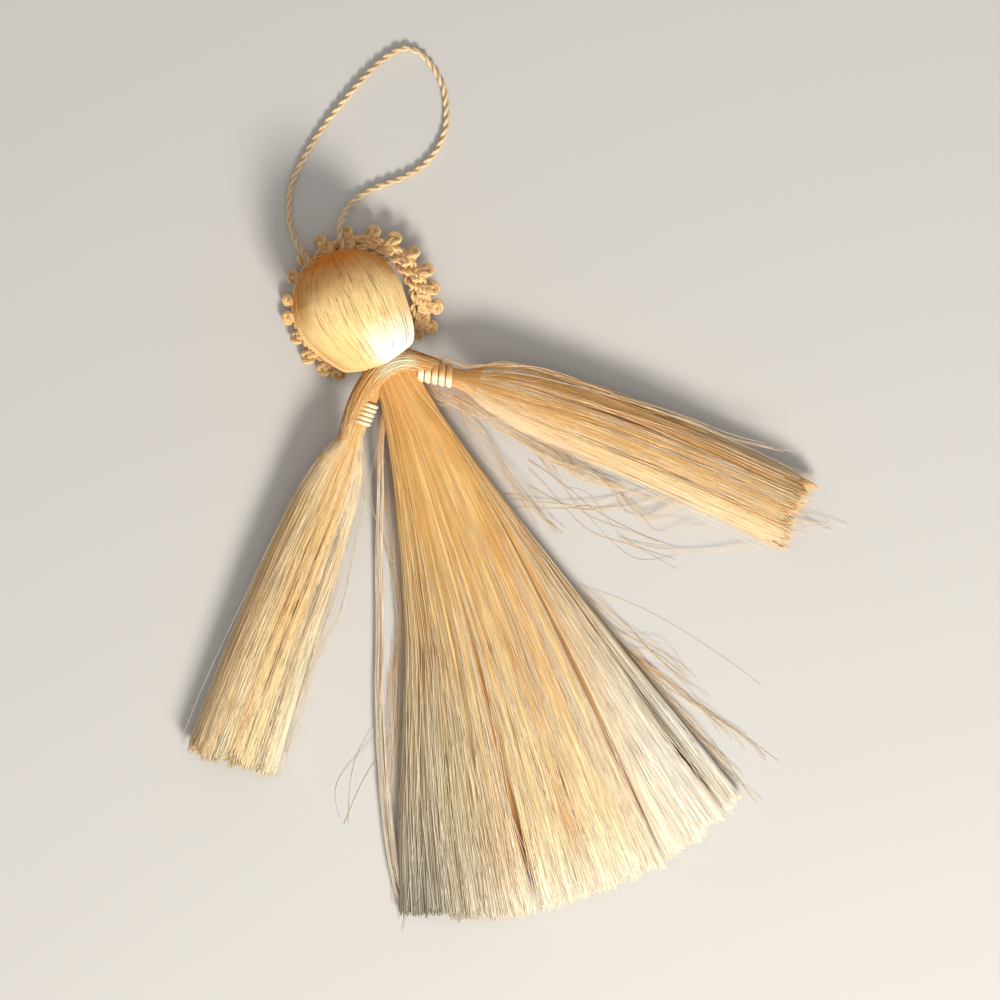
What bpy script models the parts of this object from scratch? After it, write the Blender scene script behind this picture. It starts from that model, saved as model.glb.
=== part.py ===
# Angel ornament of silky floss, lying on its back on a flat surface.
# A floss-wrapped ball is the head, with a looped braid behind it as the halo. Below the neck's
# thread winding hang a fan of loose floss, the skirt, and two bound tassels, the arms.
# Everything is placed from the neck: +Y runs to the crown, +X to the right arm, +Z up.
# The last step moves the whole figure so that its footprint is centred on the origin.
import math

import bmesh
import bpy
import numpy as np
from mathutils import Vector

MM = 0.001
GAP = 0.3 * MM  # left between pieces that touch

# Head
HEAD_RADIUS = 10.45 * MM
HEAD_CENTRE = (-3.05 * MM, 14.4 * MM)
HEAD_RIM_RADIUS = 6.5 * MM  # where the floss turns in under the ball
HEAD_RIM_SHIFT = -1.6 * MM
HEAD_LOCKS = 14
HEAD_LOCK_DEPTH = 0.35 * MM

# Neck, with the thread wound round it
NECK_HEIGHT = 8.0 * MM
NECK_RADIUS = 3.4 * MM
NECK_THREAD = 0.7 * MM
NECK_TURNS = 4
NECK_WINDING = 3.0 * MM
NECK_OVERHANG = 0.6 * MM  # how far the winding reaches below the neck point

# Halo braid
HALO_CENTRE = (-1.25 * MM, 13.7 * MM)
HALO_RADIUS = 10.4 * MM
HALO_FROM = -50.0  # degrees from +X, counter-clockwise
HALO_TO = 229.0
HALO_WIDTH = 3.1 * MM
HALO_FLATNESS = 0.7  # thickness as a share of width
HALO_RISE = 3.6 * MM  # how far its right side stands up
HALO_RISE_START = 8.7 * MM  # how far below the halo's centre that rise begins
HALO_RISE_RUN = 8.0 * MM  # and over what distance it is reached
HALO_SCALLOP = 0.12  # share by which the band narrows between picots
HALO_SCALLOP_RUN = 8.0  # degrees from a picot to the full narrowing
PICOT_FIRST = -37.9  # degrees
PICOT_RUNS = ((6, 16.3), (3, 20.6), (7, 15.2))  # how many steps, and degrees between them
PICOT_REACH = 3.6 * MM  # from the middle of the band to the middle of a picot
PICOT_RADIUS = 1.6 * MM
PICOT_STEM = 1.15 * MM  # half its width

# Skirt
SKIRT_LENGTH = 103.9 * MM
SKIRT_BELLY = 3.3 * MM  # how much longer the fan is in its middle
SKIRT_SKEW = 1.0 * MM  # how much longer its right edge is, and shorter its left
SKIRT_LEFT = 20.0  # degrees from straight down to the fan's left edge, at the hem
SKIRT_RIGHT = 18.3
SKIRT_PINCH = 2.6  # degrees by which the left edge is drawn in higher up
SKIRT_THICKNESS = 5.0 * MM
SKIRT_EDGE = 1.4 * MM
SKIRT_LANDS = 34.0 * MM  # distance from the neck at which it lies flat
SKIRT_LOCKS = 14
SKIRT_LOCK_DEPTH = 0.9 * MM
SKIRT_RAGGED = 0.7 * MM
SKIRT_PINCHED = 0.42  # share of the length down to which the left edge is drawn in
SKIRT_SETTLES = 0.22  # share of the length in which the tied bulge sinks away
SKIRT_PARTS = 0.3  # share of the length at which the locks have their full depth
STRAY_LOCK_DIAMETER = 2.0 * MM
STRAY_LOCK = (  # across and down as shares of the skirt's length, height as a share of the neck's
    (-0.025, 0.043, 1.0), (-0.065, 0.109, 0.68), (-0.102, 0.202, 0.33), (-0.15, 0.318, 0.0),
    (-0.196, 0.443, 0.0), (-0.25, 0.582, 0.0), (-0.293, 0.722, 0.0), (-0.323, 0.847, 0.0),
    (-0.329, 0.929, 0.0),
)

# Arms
ARM_ROOT_RADIUS = 1.5 * MM
ARM_TAIL = 0.6 * MM  # how far the arm stays narrow below its binding
ARM_THICKNESS = 9.0 * MM
ARM_END_THICKNESS = 7.4 * MM
ARM_LANDS = 0.42  # share of the length at which the underside touches down
ARM_SWELLS = 0.13  # share of the length in which it swells below its binding
ARM_THINS = 0.4  # share of the length from which it thins towards its end
ARM_LOCKS = 10
ARM_STEPS = (0.04, 0.09, 0.15, 0.23, 0.32, 0.43, 0.55, 0.67, 0.79, 0.9, 1)  # shares of the loose part
ARM_LOCK_DEPTH = 0.7 * MM
RIGHT_ARM_ROOT = (4.85 * MM, -1.95 * MM)
RIGHT_ARM_BEND = (26.8 * MM, -15.1 * MM)
RIGHT_ARM_END = (60.7 * MM, -52.2 * MM)
RIGHT_ARM_SWELL = 5.6 * MM
RIGHT_ARM_FLARE = 0.0 * MM
LEFT_ARM_ROOT = (-5.2 * MM, -2.7 * MM)
LEFT_ARM_BEND = (-31.5 * MM, -28.9 * MM)
LEFT_ARM_END = (-55.1 * MM, -58.2 * MM)
LEFT_ARM_SWELL = 5.2 * MM
LEFT_ARM_FLARE = 2.0 * MM
ARM_THREAD = 0.6 * MM
ARM_TURNS = 5
RIGHT_BINDING = (0.5 * MM, 7.2 * MM)  # where it starts along the arm, and its length
LEFT_BINDING = (2.3 * MM, 5.4 * MM)

# Hanging loop: x and y of a cord that leaves the braid, runs round and comes back
CORD_DIAMETER = 1.3 * MM
CORD_STEP = 2.1  # diameters between the tube's points
CORD_LIFT = 0.25 * MM  # clearance over the braid at both ends
CORD_DROP = 6.0 * MM  # distance in which it comes down to the surface
CORD_ROUTE = (
    (-6.9, 23.2), (-7.7, 25.6), (-8.4, 28.5), (-8.4, 32.0), (-7.7, 35.3), (-5.9, 39.1),
    (-3.0, 42.3), (0.9, 45.5), (5.4, 48.6), (9.6, 51.1), (13.8, 53.4), (18.1, 55.3),
    (21.8, 56.3), (24.4, 56.1), (26.6, 54.0), (27.8, 50.4), (28.1, 46.4), (27.1, 42.3),
    (25.4, 38.8), (22.6, 36.0), (18.9, 34.1), (14.8, 33.5), (10.6, 33.6), (6.7, 33.3),
    (3.5, 32.1), (0.9, 29.8), (-0.3, 27.2), (-0.6, 24.7),
)


def smooth(value):
    """Eases from 0 to 1."""
    value = min(max(value, 0.0), 1.0)
    return value * value * (3 - 2 * value)


def mix(a, b, share):
    return a + (b - a) * share


def groove(turn, locks):
    """0 on the crest of a lock and 1 in the groove beside it."""
    return 1 - abs(math.sin(math.pi * turn * locks)) ** 0.6


def floss(name, colour):
    material = bpy.data.materials.new(name)
    material.use_nodes = True
    shader = material.node_tree.nodes["Principled BSDF"]
    shader.inputs["Base Color"].default_value = (*colour, 1)
    shader.inputs["Roughness"].default_value = 0.4
    shader.inputs["Metallic"].default_value = 0.0
    return material


def add(name, mesh, colour):
    piece = bpy.data.objects.new(name, mesh)
    piece.data.materials.clear()
    piece.data.materials.append(floss(name, colour))
    figure.objects.link(piece)
    piece.parent = root
    return piece


def loft(name, rings):
    """A closed mesh over rings of points, each with as many points as the others."""
    shape = bmesh.new()
    rows = [[shape.verts.new(point) for point in ring] for ring in rings]
    count = len(rows[0])
    for low, high in zip(rows, rows[1:]):
        for k in range(count):
            after = (k + 1) % count
            shape.faces.new((low[k], low[after], high[after], high[k]))
    shape.faces.new(rows[0][::-1])
    shape.faces.new(rows[-1])
    bmesh.ops.triangulate(shape, faces=shape.faces[:])
    bmesh.ops.recalc_face_normals(shape, faces=shape.faces[:])
    mesh = bpy.data.meshes.new(name)
    shape.to_mesh(mesh)
    shape.free()
    mesh.shade_smooth()
    return mesh


def settled(curve):
    """The mesh that a curve object makes, with its caps welded, and the curve removed."""
    bpy.context.view_layer.update()
    evaluated = curve.evaluated_get(bpy.context.evaluated_depsgraph_get())
    mesh = bpy.data.meshes.new_from_object(evaluated)
    shape = bmesh.new()
    shape.from_mesh(mesh)
    bmesh.ops.remove_doubles(shape, verts=shape.verts[:], dist=0.001 * MM)
    shape.to_mesh(mesh)
    shape.free()
    bpy.data.objects.remove(curve)
    return mesh


def tube(name, points, diameter, widths=None):
    """A curve object with a round section and filled ends."""
    data = bpy.data.curves.new(name, "CURVE")
    data.dimensions = "3D"
    data.bevel_depth = diameter / 2
    data.bevel_resolution = 2
    data.use_fill_caps = True
    line = data.splines.new("POLY")
    line.points.add(len(points) - 1)
    for k, point in enumerate(points):
        line.points[k].co = (*point, 1)
        line.points[k].radius = widths[k] if widths else 1.0
    piece = bpy.data.objects.new(name, data)
    figure.objects.link(piece)
    return piece


def unite(piece, others):
    """Joins the other meshes to the piece with Boolean unions, and removes them."""
    for k, other in enumerate(others):
        union = piece.modifiers.new(f"union {k}", "BOOLEAN")
        union.operation = "UNION"
        union.solver = "EXACT"
        union.object = other
    bpy.context.view_layer.update()
    evaluated = piece.evaluated_get(bpy.context.evaluated_depsgraph_get())
    joined = bpy.data.meshes.new_from_object(evaluated)
    for other in others:
        bpy.data.objects.remove(other)
    piece.modifiers.clear()
    piece.data = joined


def head_sections():
    """(y, x of the middle, height of the middle, radius) from the neck to the crown."""
    start = NECK_OVERHANG + 0.5 * GAP
    rim = NECK_WINDING - NECK_OVERHANG + GAP
    middle = HEAD_CENTRE[1]
    found = [(start, 0.0, NECK_HEIGHT, NECK_RADIUS), (rim, 0.0, NECK_HEIGHT, NECK_RADIUS)]
    for share in (0.0, 0.04, 0.25, 0.5, 0.75, 1.0):
        y = mix(rim, middle, share)
        swell = math.sin(math.pi / 2 * share ** 0.8)
        radius = mix(HEAD_RIM_RADIUS, HEAD_RADIUS, swell)
        x = mix(HEAD_RIM_SHIFT, HEAD_CENTRE[0], smooth(share * 1.2))
        # The underside never sinks below the surface that the ball rests on.
        z = max(mix(NECK_HEIGHT, HEAD_RADIUS, smooth(share)), radius)
        found.append((y, x, z, radius))
    for angle in (22, 42, 60, 75, 85):
        up, out = math.sin(math.radians(angle)), math.cos(math.radians(angle))
        found.append((middle + HEAD_RADIUS * up, HEAD_CENTRE[0], HEAD_RADIUS, HEAD_RADIUS * out))
    return found


def head():
    """The ball, with locks of floss running over it from the crown to the neck."""
    points = HEAD_LOCKS * 3
    rings = []
    for row, (y, x, z, radius) in enumerate(head_sections()):
        depth = 0 if row < 2 else HEAD_LOCK_DEPTH * radius / HEAD_RADIUS
        ring = []
        for k in range(points):
            turn = k / points
            out = radius - depth * groove(turn, HEAD_LOCKS)
            angle = 2 * math.pi * turn
            ring.append((x + out * math.cos(angle), y, z + out * math.sin(angle)))
        rings.append(ring)
    add("head", loft("head", rings), (0.80, 0.52, 0.26))


def braid_height(x, y):
    """The braid lies on the surface on the left and at its two ends, and rises on the right."""
    low = max(HALO_WIDTH / 2, PICOT_RADIUS) * HALO_FLATNESS
    across = (x - HALO_CENTRE[0] + HALO_RADIUS) / (2 * HALO_RADIUS)
    upward = smooth((y - HALO_CENTRE[1] + HALO_RISE_START) / HALO_RISE_RUN)
    return low + HALO_RISE * min(max(across, 0.0), 1.0) ** 3 * upward


def on_halo(degrees, radius):
    angle = math.radians(degrees)
    x = HALO_CENTRE[0] + radius * math.cos(angle)
    y = HALO_CENTRE[1] + radius * math.sin(angle)
    band = HALO_RADIUS / radius
    inner_x = mix(HALO_CENTRE[0], x, band)
    inner_y = mix(HALO_CENTRE[1], y, band)
    return Vector((x, y, braid_height(inner_x, inner_y)))


def picot_angles():
    found = [PICOT_FIRST]
    for count, step in PICOT_RUNS:
        for _ in range(count):
            found.append(found[-1] + step)
    return found


def picot(degrees):
    """One knob of the braid's edge, on the doubled cord that joins it to the band."""
    angle = math.radians(degrees)
    aside = Vector((-math.sin(angle), math.cos(angle), 0))
    rings = []
    for reach, radius in (
        (0.2 * PICOT_REACH, PICOT_STEM),
        (0.55 * PICOT_REACH, PICOT_STEM),
        (0.76 * PICOT_REACH, 0.9 * PICOT_RADIUS),
        (PICOT_REACH, PICOT_RADIUS),
        (PICOT_REACH + 0.6 * PICOT_RADIUS, 0.8 * PICOT_RADIUS),
        (PICOT_REACH + PICOT_RADIUS, 0.25 * PICOT_RADIUS),
    ):
        middle = on_halo(degrees, HALO_RADIUS + reach)
        ring = []
        for k in range(7):
            around = 2 * math.pi * (k + 0.5) / 7
            up = Vector((0, 0, HALO_FLATNESS * math.sin(around)))
            ring.append(middle + radius * (aside * math.cos(around) + up))
        rings.append(ring)
    piece = bpy.data.objects.new("picot", loft("picot", rings))
    figure.objects.link(piece)
    return piece


def halo_braid():
    """The band, swelling at each picot, and its row of picots."""
    angles = picot_angles()
    steps = 2 * len(angles)
    line = []
    widths = []
    for k in range(steps + 1):
        degrees = mix(HALO_FROM, HALO_TO, k / steps)
        line.append(on_halo(degrees, HALO_RADIUS))
        nearest = min(abs(degrees - angle) for angle in angles)
        widths.append(1 - HALO_SCALLOP * smooth(nearest / HALO_SCALLOP_RUN))
    mesh = settled(tube("band", line, HALO_WIDTH, widths))
    for vertex in mesh.vertices:
        centre = braid_height_under(vertex.co)
        vertex.co.z = mix(centre, vertex.co.z, HALO_FLATNESS)
    band = add("halo_braid", mesh, (0.80, 0.55, 0.30))
    unite(band, [picot(angle) for angle in angles])


def braid_height_under(point):
    """The height of the band's middle at the bearing of this point."""
    away = Vector((point.x - HALO_CENTRE[0], point.y - HALO_CENTRE[1]))
    away *= HALO_RADIUS / away.length
    return braid_height(HALO_CENTRE[0] + away.x, HALO_CENTRE[1] + away.y)


def winding(name, inner, thread, turns, length, middle, direction, colour):
    """A sleeve of thread wound round a neck: a ring whose outside swells once for each turn."""
    profile = [(inner, length / 2), (inner, -length / 2)]
    for k in range(turns):
        for share, out in ((0.08, 0.45), (0.5, 1.0), (0.92, 0.45)):
            along = -length / 2 + length * (k + share) / turns
            profile.append((inner + thread * out, along))
    mesh = bpy.data.meshes.new(name)
    count = len(profile)
    edges = [(k, (k + 1) % count) for k in range(count)]
    mesh.from_pydata([(x, 0, z) for x, z in profile], edges, [])
    piece = add(name, mesh, colour)
    screw = piece.modifiers.new("turned", "SCREW")
    screw.axis = "Z"
    screw.steps = screw.render_steps = 16
    screw.use_merge_vertices = True
    screw.merge_threshold = 0.00001
    screw.use_normal_calculate = True
    piece.location = middle
    piece.rotation_mode = "QUATERNION"
    piece.rotation_quaternion = Vector(direction).to_track_quat("Z", "Y")
    return piece


def neck_binding():
    middle = (0, NECK_WINDING / 2 - NECK_OVERHANG, NECK_HEIGHT)
    colour = (0.85, 0.58, 0.30)
    inner = NECK_RADIUS + GAP
    winding("neck_binding", inner, NECK_THREAD, NECK_TURNS, NECK_WINDING, middle, (0, 1, 0), colour)


def skirt_rows():
    """Distances from the neck, close together where the shape changes fast."""
    start = -NECK_OVERHANG + 0.5 * GAP
    shares = (0, 0.012, 0.04, 0.08, 0.13, 0.19, 0.27, 0.37, 0.5, 0.63, 0.76, 0.89, 1)
    return [mix(start, SKIRT_LENGTH, share) for share in shares]


def skirt_point(away, across, turn, lock_depth, ragged):
    """A point of the fan: away from the neck, across from -1 to 1, turn from 0 to 1 round."""
    drawn_in = SKIRT_PINCH * (1 - smooth(away / (SKIRT_PINCHED * SKIRT_LENGTH) - 1))
    side = SKIRT_LEFT - drawn_in if across < 0 else SKIRT_RIGHT
    slant = math.radians(side * abs(across))
    half = math.hypot(NECK_RADIUS, away * math.sin(math.radians(side)))
    longer = SKIRT_BELLY * (1 - across * across) + SKIRT_SKEW * across
    belly = longer * smooth(away / SKIRT_LENGTH)
    lying = smooth(away / SKIRT_LANDS)
    edge = mix(NECK_HEIGHT, SKIRT_EDGE, smooth(away / SKIRT_LANDS * 0.9))
    settle = math.exp(-max(away, 0) / (SKIRT_SETTLES * SKIRT_LENGTH))
    top = SKIRT_THICKNESS + (NECK_HEIGHT + NECK_RADIUS - SKIRT_THICKNESS) * settle
    if away <= NECK_OVERHANG:
        top = NECK_HEIGHT + NECK_RADIUS
    bottom = (NECK_HEIGHT - NECK_RADIUS) * (1 - lying)
    rise = max(1 - across * across, 0.0)
    if turn < 0.5:
        z = edge + (top - edge) * rise ** mix(0.5, 0.32, lying)
        z -= lock_depth * smooth(away / (SKIRT_PARTS * SKIRT_LENGTH)) * rise ** 0.3
    else:
        z = edge - (edge - bottom) * min(1.0, rise ** 0.5 * mix(1.0, 1.9, lying))
    y = -(away + belly + ragged * smooth(away / SKIRT_LENGTH) ** 8) * math.cos(slant)
    return (half * across, y, max(z, 0.0))


def skirt():
    """The fan of floss: round where it is tied, flat underneath where it lies, cut off ragged."""
    over = SKIRT_LOCKS * 4
    under = 12
    rings = []
    for away in skirt_rows():
        ring = []
        for k in range(over + 1):
            turn = k / over
            across = -math.cos(math.pi * (0.15 * turn + 0.85 * fan_share(turn)))
            deep = 0.55 + 0.45 * math.sin(2.4 * math.floor(turn * SKIRT_LOCKS) + 1)
            depth = SKIRT_LOCK_DEPTH * deep * groove(turn, SKIRT_LOCKS)
            ragged = SKIRT_RAGGED * math.sin(5.1 * math.floor(turn * over / 2))
            ring.append(skirt_point(away, across, 0, depth, ragged))
        for k in range(1, under):
            across = math.cos(math.pi * k / under)
            ring.append(skirt_point(away, across, 1, 0, 0))
        rings.append(ring)
    fan = add("skirt", loft("skirt", rings), (0.82, 0.60, 0.33))
    unite(fan, [stray_lock()])


def fan_share(turn):
    """Spreads the locks evenly across the fan instead of evenly round its section."""
    return math.acos(1 - 2 * turn) / math.pi


def stray_lock():
    """The thin lock beside the left edge, free from its root to just above the hem."""
    radius = STRAY_LOCK_DIAMETER / 2
    places = [
        Vector((across * SKIRT_LENGTH, -down * SKIRT_LENGTH, height * NECK_HEIGHT))
        for across, down, height in STRAY_LOCK
    ]
    line = curve_through(places, 2 * STRAY_LOCK_DIAMETER)
    for point in line:
        point.z = max(point.z, radius)
    mesh = settled(tube("stray lock", line, STRAY_LOCK_DIAMETER))
    piece = bpy.data.objects.new("stray lock", mesh)
    figure.objects.link(piece)
    return piece


def curve_through(places, step):
    """Points about a step apart on a smooth curve through the places."""
    padded = [2 * places[0] - places[1], *places, 2 * places[-1] - places[-2]]
    fine = []
    for a, b, c, d in zip(padded, padded[1:], padded[2:], padded[3:]):
        for k in range(20):
            t = k / 20
            fine.append(
                0.5 * (2 * b + (c - a) * t + (2 * a - 5 * b + 4 * c - d) * t * t
                       + (3 * b - a - 3 * c + d) * t ** 3)
            )
    fine.append(places[-1].copy())
    walked = np.cumsum([0] + [(q - p).length for p, q in zip(fine, fine[1:])])
    count = max(int(round(walked[-1] / step)), 2)
    wanted = np.linspace(0, walked[-1], count + 1)
    axes = [np.interp(wanted, walked, [point[axis] for point in fine]) for axis in range(3)]
    return [Vector(point) for point in zip(*axes)]


def arm_line(start, bend, end):
    """The arm's middle line in plan, as points along a curve that leaves start towards bend."""
    start, bend, end = Vector(start), Vector(bend), Vector(end)
    points = []
    for k in range(61):
        t = k / 60
        points.append(start * (1 - t) ** 2 + bend * 2 * t * (1 - t) + end * t * t)
    return points


def along_line(points, distance):
    """The place at a distance along the points, and the direction there."""
    walked = np.cumsum([0] + [(q - p).length for p, q in zip(points, points[1:])])
    x, y = (np.interp(distance, walked, [point[axis] for point in points]) for axis in (0, 1))
    k = min(max(int(np.searchsorted(walked, distance)), 1), len(points) - 1)
    return Vector((x, y)), (points[k] - points[k - 1]).normalized()


def arm(name, route, swell, flare, reach):
    """A tassel: round and narrow where it is bound, then swelling, drooping and cut off flat."""
    over = ARM_LOCKS * 4
    line = arm_line(*route)
    length = sum((q - p).length for p, q in zip(line, line[1:]))
    bound = (reach[0] + reach[1] + ARM_TAIL) / length
    rings = []
    for share in (0, 0.5 * bound, bound, *(mix(bound, 1, step) for step in ARM_STEPS)):
        place, along = along_line(line, share * length)
        aside = Vector((-along.y, along.x))
        loose = share - min(share, bound)
        half = ARM_ROOT_RADIUS + swell * (1 - math.exp(-loose / ARM_SWELLS)) + flare * share * share
        free = smooth(loose / (ARM_LANDS - bound))
        thick = mix(ARM_THICKNESS, ARM_END_THICKNESS, smooth((share - ARM_THINS) / (1 - ARM_THINS)))
        top = mix(NECK_HEIGHT + ARM_ROOT_RADIUS, thick, free)
        bottom = (NECK_HEIGHT - ARM_ROOT_RADIUS) * (1 - free)
        middle = mix(bottom, top, mix(0.5, 0.42, free))
        ring = []
        for k in range(over):
            turn = k / over
            angle = 2 * math.pi * turn
            depth = ARM_LOCK_DEPTH * free * groove(turn, ARM_LOCKS)
            out = (half - depth) * math.cos(angle)
            rise = math.sin(angle)
            if rise > 0:
                z = middle + (top - middle - depth) * rise
            else:
                z = middle + (middle - bottom) * max(rise * mix(1.0, 1.15, free), -1.0)
            point = place + aside * out
            ring.append((point.x, point.y, z))
        rings.append(ring)
    rings[0] = [tucked(point, line[1] - line[0]) for point in rings[0]]
    add(name, loft(name, rings), (0.83, 0.58, 0.31))


def tucked(point, along):
    """Slides a point of the arm's tied end along the arm until it lies against the neck's side."""
    x, y, z = point
    beside = math.copysign(NECK_RADIUS + GAP + NECK_THREAD + GAP, x)
    return (beside, y + along.y * (beside - x) / along.x, z)


def arm_binding(name, route, reach):
    place, along = along_line(arm_line(*route), reach[0] + reach[1] / 2)
    middle = (place.x, place.y, NECK_HEIGHT)
    direction = (along.x, along.y, 0)
    colour = (0.90, 0.70, 0.42)
    inner = ARM_ROOT_RADIUS + GAP
    winding(name, inner, ARM_THREAD, ARM_TURNS, reach[1], middle, direction, colour)


def hanging_loop():
    """The cord rests on the surface, and at its two ends passes over the braid's edge."""
    radius = CORD_DIAMETER / 2
    line = curve_through([Vector((x * MM, y * MM, 0)) for x, y in CORD_ROUTE], radius)
    halo = Vector((*HALO_CENTRE, 0))
    edge = HALO_RADIUS + PICOT_REACH + PICOT_RADIUS
    for point in line:
        out = (point - halo).length
        over = braid_height_under(point) + HALO_WIDTH * HALO_FLATNESS / 2 + radius + CORD_LIFT
        point.z = mix(over, radius, smooth((out - edge) / CORD_DROP))
    line = curve_through(line, CORD_STEP * CORD_DIAMETER)
    piece = tube("hanging_loop", line, CORD_DIAMETER)
    piece.data.materials.append(floss("hanging_loop", (0.86, 0.72, 0.50)))
    piece.parent = root
    return piece


def centre_footprint(cord):
    """Moves the figure so that the middle of its footprint, the cord aside, is the origin."""
    bpy.context.view_layer.update()
    graph = bpy.context.evaluated_depsgraph_get()
    corners = []
    for piece in figure.objects:
        if piece != cord and piece.type == "MESH":
            seen = piece.evaluated_get(graph)
            corners += [seen.matrix_world @ vertex.co for vertex in seen.data.vertices]
    x = [corner.x for corner in corners]
    y = [corner.y for corner in corners]
    root.location = (-(min(x) + max(x)) / 2, -(min(y) + max(y)) / 2, 0)


for leftover in list(bpy.data.objects):
    bpy.data.objects.remove(leftover)
figure = bpy.data.collections.new("angel ornament")
bpy.context.scene.collection.children.link(figure)
root = bpy.data.objects.new("angel", None)
figure.objects.link(root)

head()
halo_braid()
neck_binding()
skirt()
right = (RIGHT_ARM_ROOT, RIGHT_ARM_BEND, RIGHT_ARM_END)
left = (LEFT_ARM_ROOT, LEFT_ARM_BEND, LEFT_ARM_END)
arm("right_arm", right, RIGHT_ARM_SWELL, RIGHT_ARM_FLARE, RIGHT_BINDING)
arm("left_arm", left, LEFT_ARM_SWELL, LEFT_ARM_FLARE, LEFT_BINDING)
arm_binding("right_arm_binding", right, RIGHT_BINDING)
arm_binding("left_arm_binding", left, LEFT_BINDING)
centre_footprint(hanging_loop())
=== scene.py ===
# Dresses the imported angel: silk floss in real strands, a looped braid, wound thread and a hanging cord.
import math

import bmesh
import bpy
import numpy as np
from mathutils import Matrix, Vector


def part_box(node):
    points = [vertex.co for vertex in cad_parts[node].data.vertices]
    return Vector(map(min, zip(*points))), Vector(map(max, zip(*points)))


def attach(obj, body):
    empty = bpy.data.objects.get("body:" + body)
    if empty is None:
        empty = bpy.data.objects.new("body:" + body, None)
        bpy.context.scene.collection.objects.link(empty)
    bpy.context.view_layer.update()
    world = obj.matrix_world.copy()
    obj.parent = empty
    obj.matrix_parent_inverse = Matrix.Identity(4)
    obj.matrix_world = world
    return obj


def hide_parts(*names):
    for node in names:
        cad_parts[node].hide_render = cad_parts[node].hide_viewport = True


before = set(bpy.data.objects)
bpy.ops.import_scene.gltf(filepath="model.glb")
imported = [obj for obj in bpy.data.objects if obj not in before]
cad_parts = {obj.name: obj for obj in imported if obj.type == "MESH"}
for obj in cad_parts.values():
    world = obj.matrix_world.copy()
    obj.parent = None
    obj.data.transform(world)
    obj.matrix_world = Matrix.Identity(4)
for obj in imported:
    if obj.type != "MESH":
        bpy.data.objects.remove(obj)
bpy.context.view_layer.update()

mm = 0.001

# The neck is the point that everything is placed from, x to the photograph's right, y to the crown.
neck = {"overhang": 0.6, "height": 8.0, "radius": 3.4}
neckLow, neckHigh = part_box("neck_binding")
neckX = (neckLow.x + neckHigh.x) / 2 / mm
neckY = neckLow.y / mm + neck["overhang"]


def inFrame(points):  # millimetres from the neck, as metres in the frame
    return (np.asarray(points, float) + np.array([neckX, neckY, 0.0])) * mm


def ease(value):
    value = np.clip(value, 0.0, 1.0)
    return value * value * (3 - 2 * value)


def between(a, b, share):
    return a + (b - a) * share


def placed(name, data):
    made = bpy.data.objects.new(name, data)
    bpy.context.scene.collection.objects.link(made)
    return made


# Camera
view = {
    "roll": 21.0,          # degrees between the figure and the photograph's upright
    "aim": (10.1, -30.3),  # the photograph's middle, in mm from the neck
    "field": 190.0,        # mm across the photograph
    "distance": 1600.0,    # mm from the camera to the surface
    "sensor": 36.0,
}


def addCamera():
    data = bpy.data.cameras.new("camera")
    data.sensor_width = view["sensor"]
    data.lens = view["sensor"] * view["distance"] / view["field"]
    data.clip_start = 0.01
    camera = placed("camera", data)
    camera.location = inFrame((*view["aim"], view["distance"]))
    camera.rotation_euler = (0, 0, -math.radians(view["roll"]))
    bpy.context.scene.camera = camera


addCamera()
print("camera is in place")


# Materials: colour is read from each piece's own map, across the bundle in x and along it in y
def newMaterial(name, rough, sheen, specular=0.5):
    material = bpy.data.materials.new(name)
    material.use_nodes = True
    shader = material.node_tree.nodes["Principled BSDF"]
    for label, value in (("Roughness", rough), ("Sheen Weight", sheen), ("Sheen Roughness", 0.4),
                         ("Specular IOR Level", specular)):
        shader.inputs[label].default_value = value
    return material, shader


def mapPlace(material):  # the piece's map, split into across and along
    nodes = material.node_tree.nodes
    place = nodes.new("ShaderNodeUVMap")
    place.uv_map = "OFBake"
    split = nodes.new("ShaderNodeSeparateXYZ")
    material.node_tree.links.new(place.outputs["UV"], split.inputs["Vector"])
    return split.outputs["X"], split.outputs["Y"]


def combined(owner, kind, *values):  # the product or sum of sockets and numbers, in a material or a tree
    tree = getattr(owner, "node_tree", owner)
    result = values[0]
    for value in values[1:]:
        node = tree.nodes.new("ShaderNodeMath")
        node.operation = kind
        tree.links.new(result, node.inputs[0])
        if hasattr(value, "is_linked"):
            tree.links.new(value, node.inputs[1])
        else:
            node.inputs[1].default_value = value
        result = node.outputs[0]
    return result


def product(owner, *values):
    return combined(owner, "MULTIPLY", *values)


def streaks(material, across, along, fine, long):  # noise drawn out along the strands
    nodes, link = material.node_tree.nodes, material.node_tree.links.new
    stretched, noise = nodes.new("ShaderNodeCombineXYZ"), nodes.new("ShaderNodeTexNoise")
    link(product(material, across, fine), stretched.inputs["X"])
    link(product(material, along, long), stretched.inputs["Y"])
    noise.inputs["Scale"].default_value = 1.0
    noise.inputs["Detail"].default_value = 2.0
    link(stretched.outputs[0], noise.inputs["Vector"])
    return noise.outputs["Fac"]


def ramp(material, source, stops):
    node = material.node_tree.nodes.new("ShaderNodeValToRGB")
    while len(node.color_ramp.elements) > len(stops):
        node.color_ramp.elements.remove(node.color_ramp.elements[-1])
    while len(node.color_ramp.elements) < len(stops):
        node.color_ramp.elements.new(0.5)
    for element, (place, colour) in zip(node.color_ramp.elements, stops):
        element.position = place
        element.color = (*colour, 1) if len(colour) == 3 else colour
    material.node_tree.links.new(source, node.inputs["Fac"])
    return node.outputs["Color"]


def grey(value):
    return (value, value, value)


def fade(material, source, low, high):  # black at low, white at high, either way round
    return ramp(material, source, sorted([(low, grey(0.0)), (high, grey(1.0))]))


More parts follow.
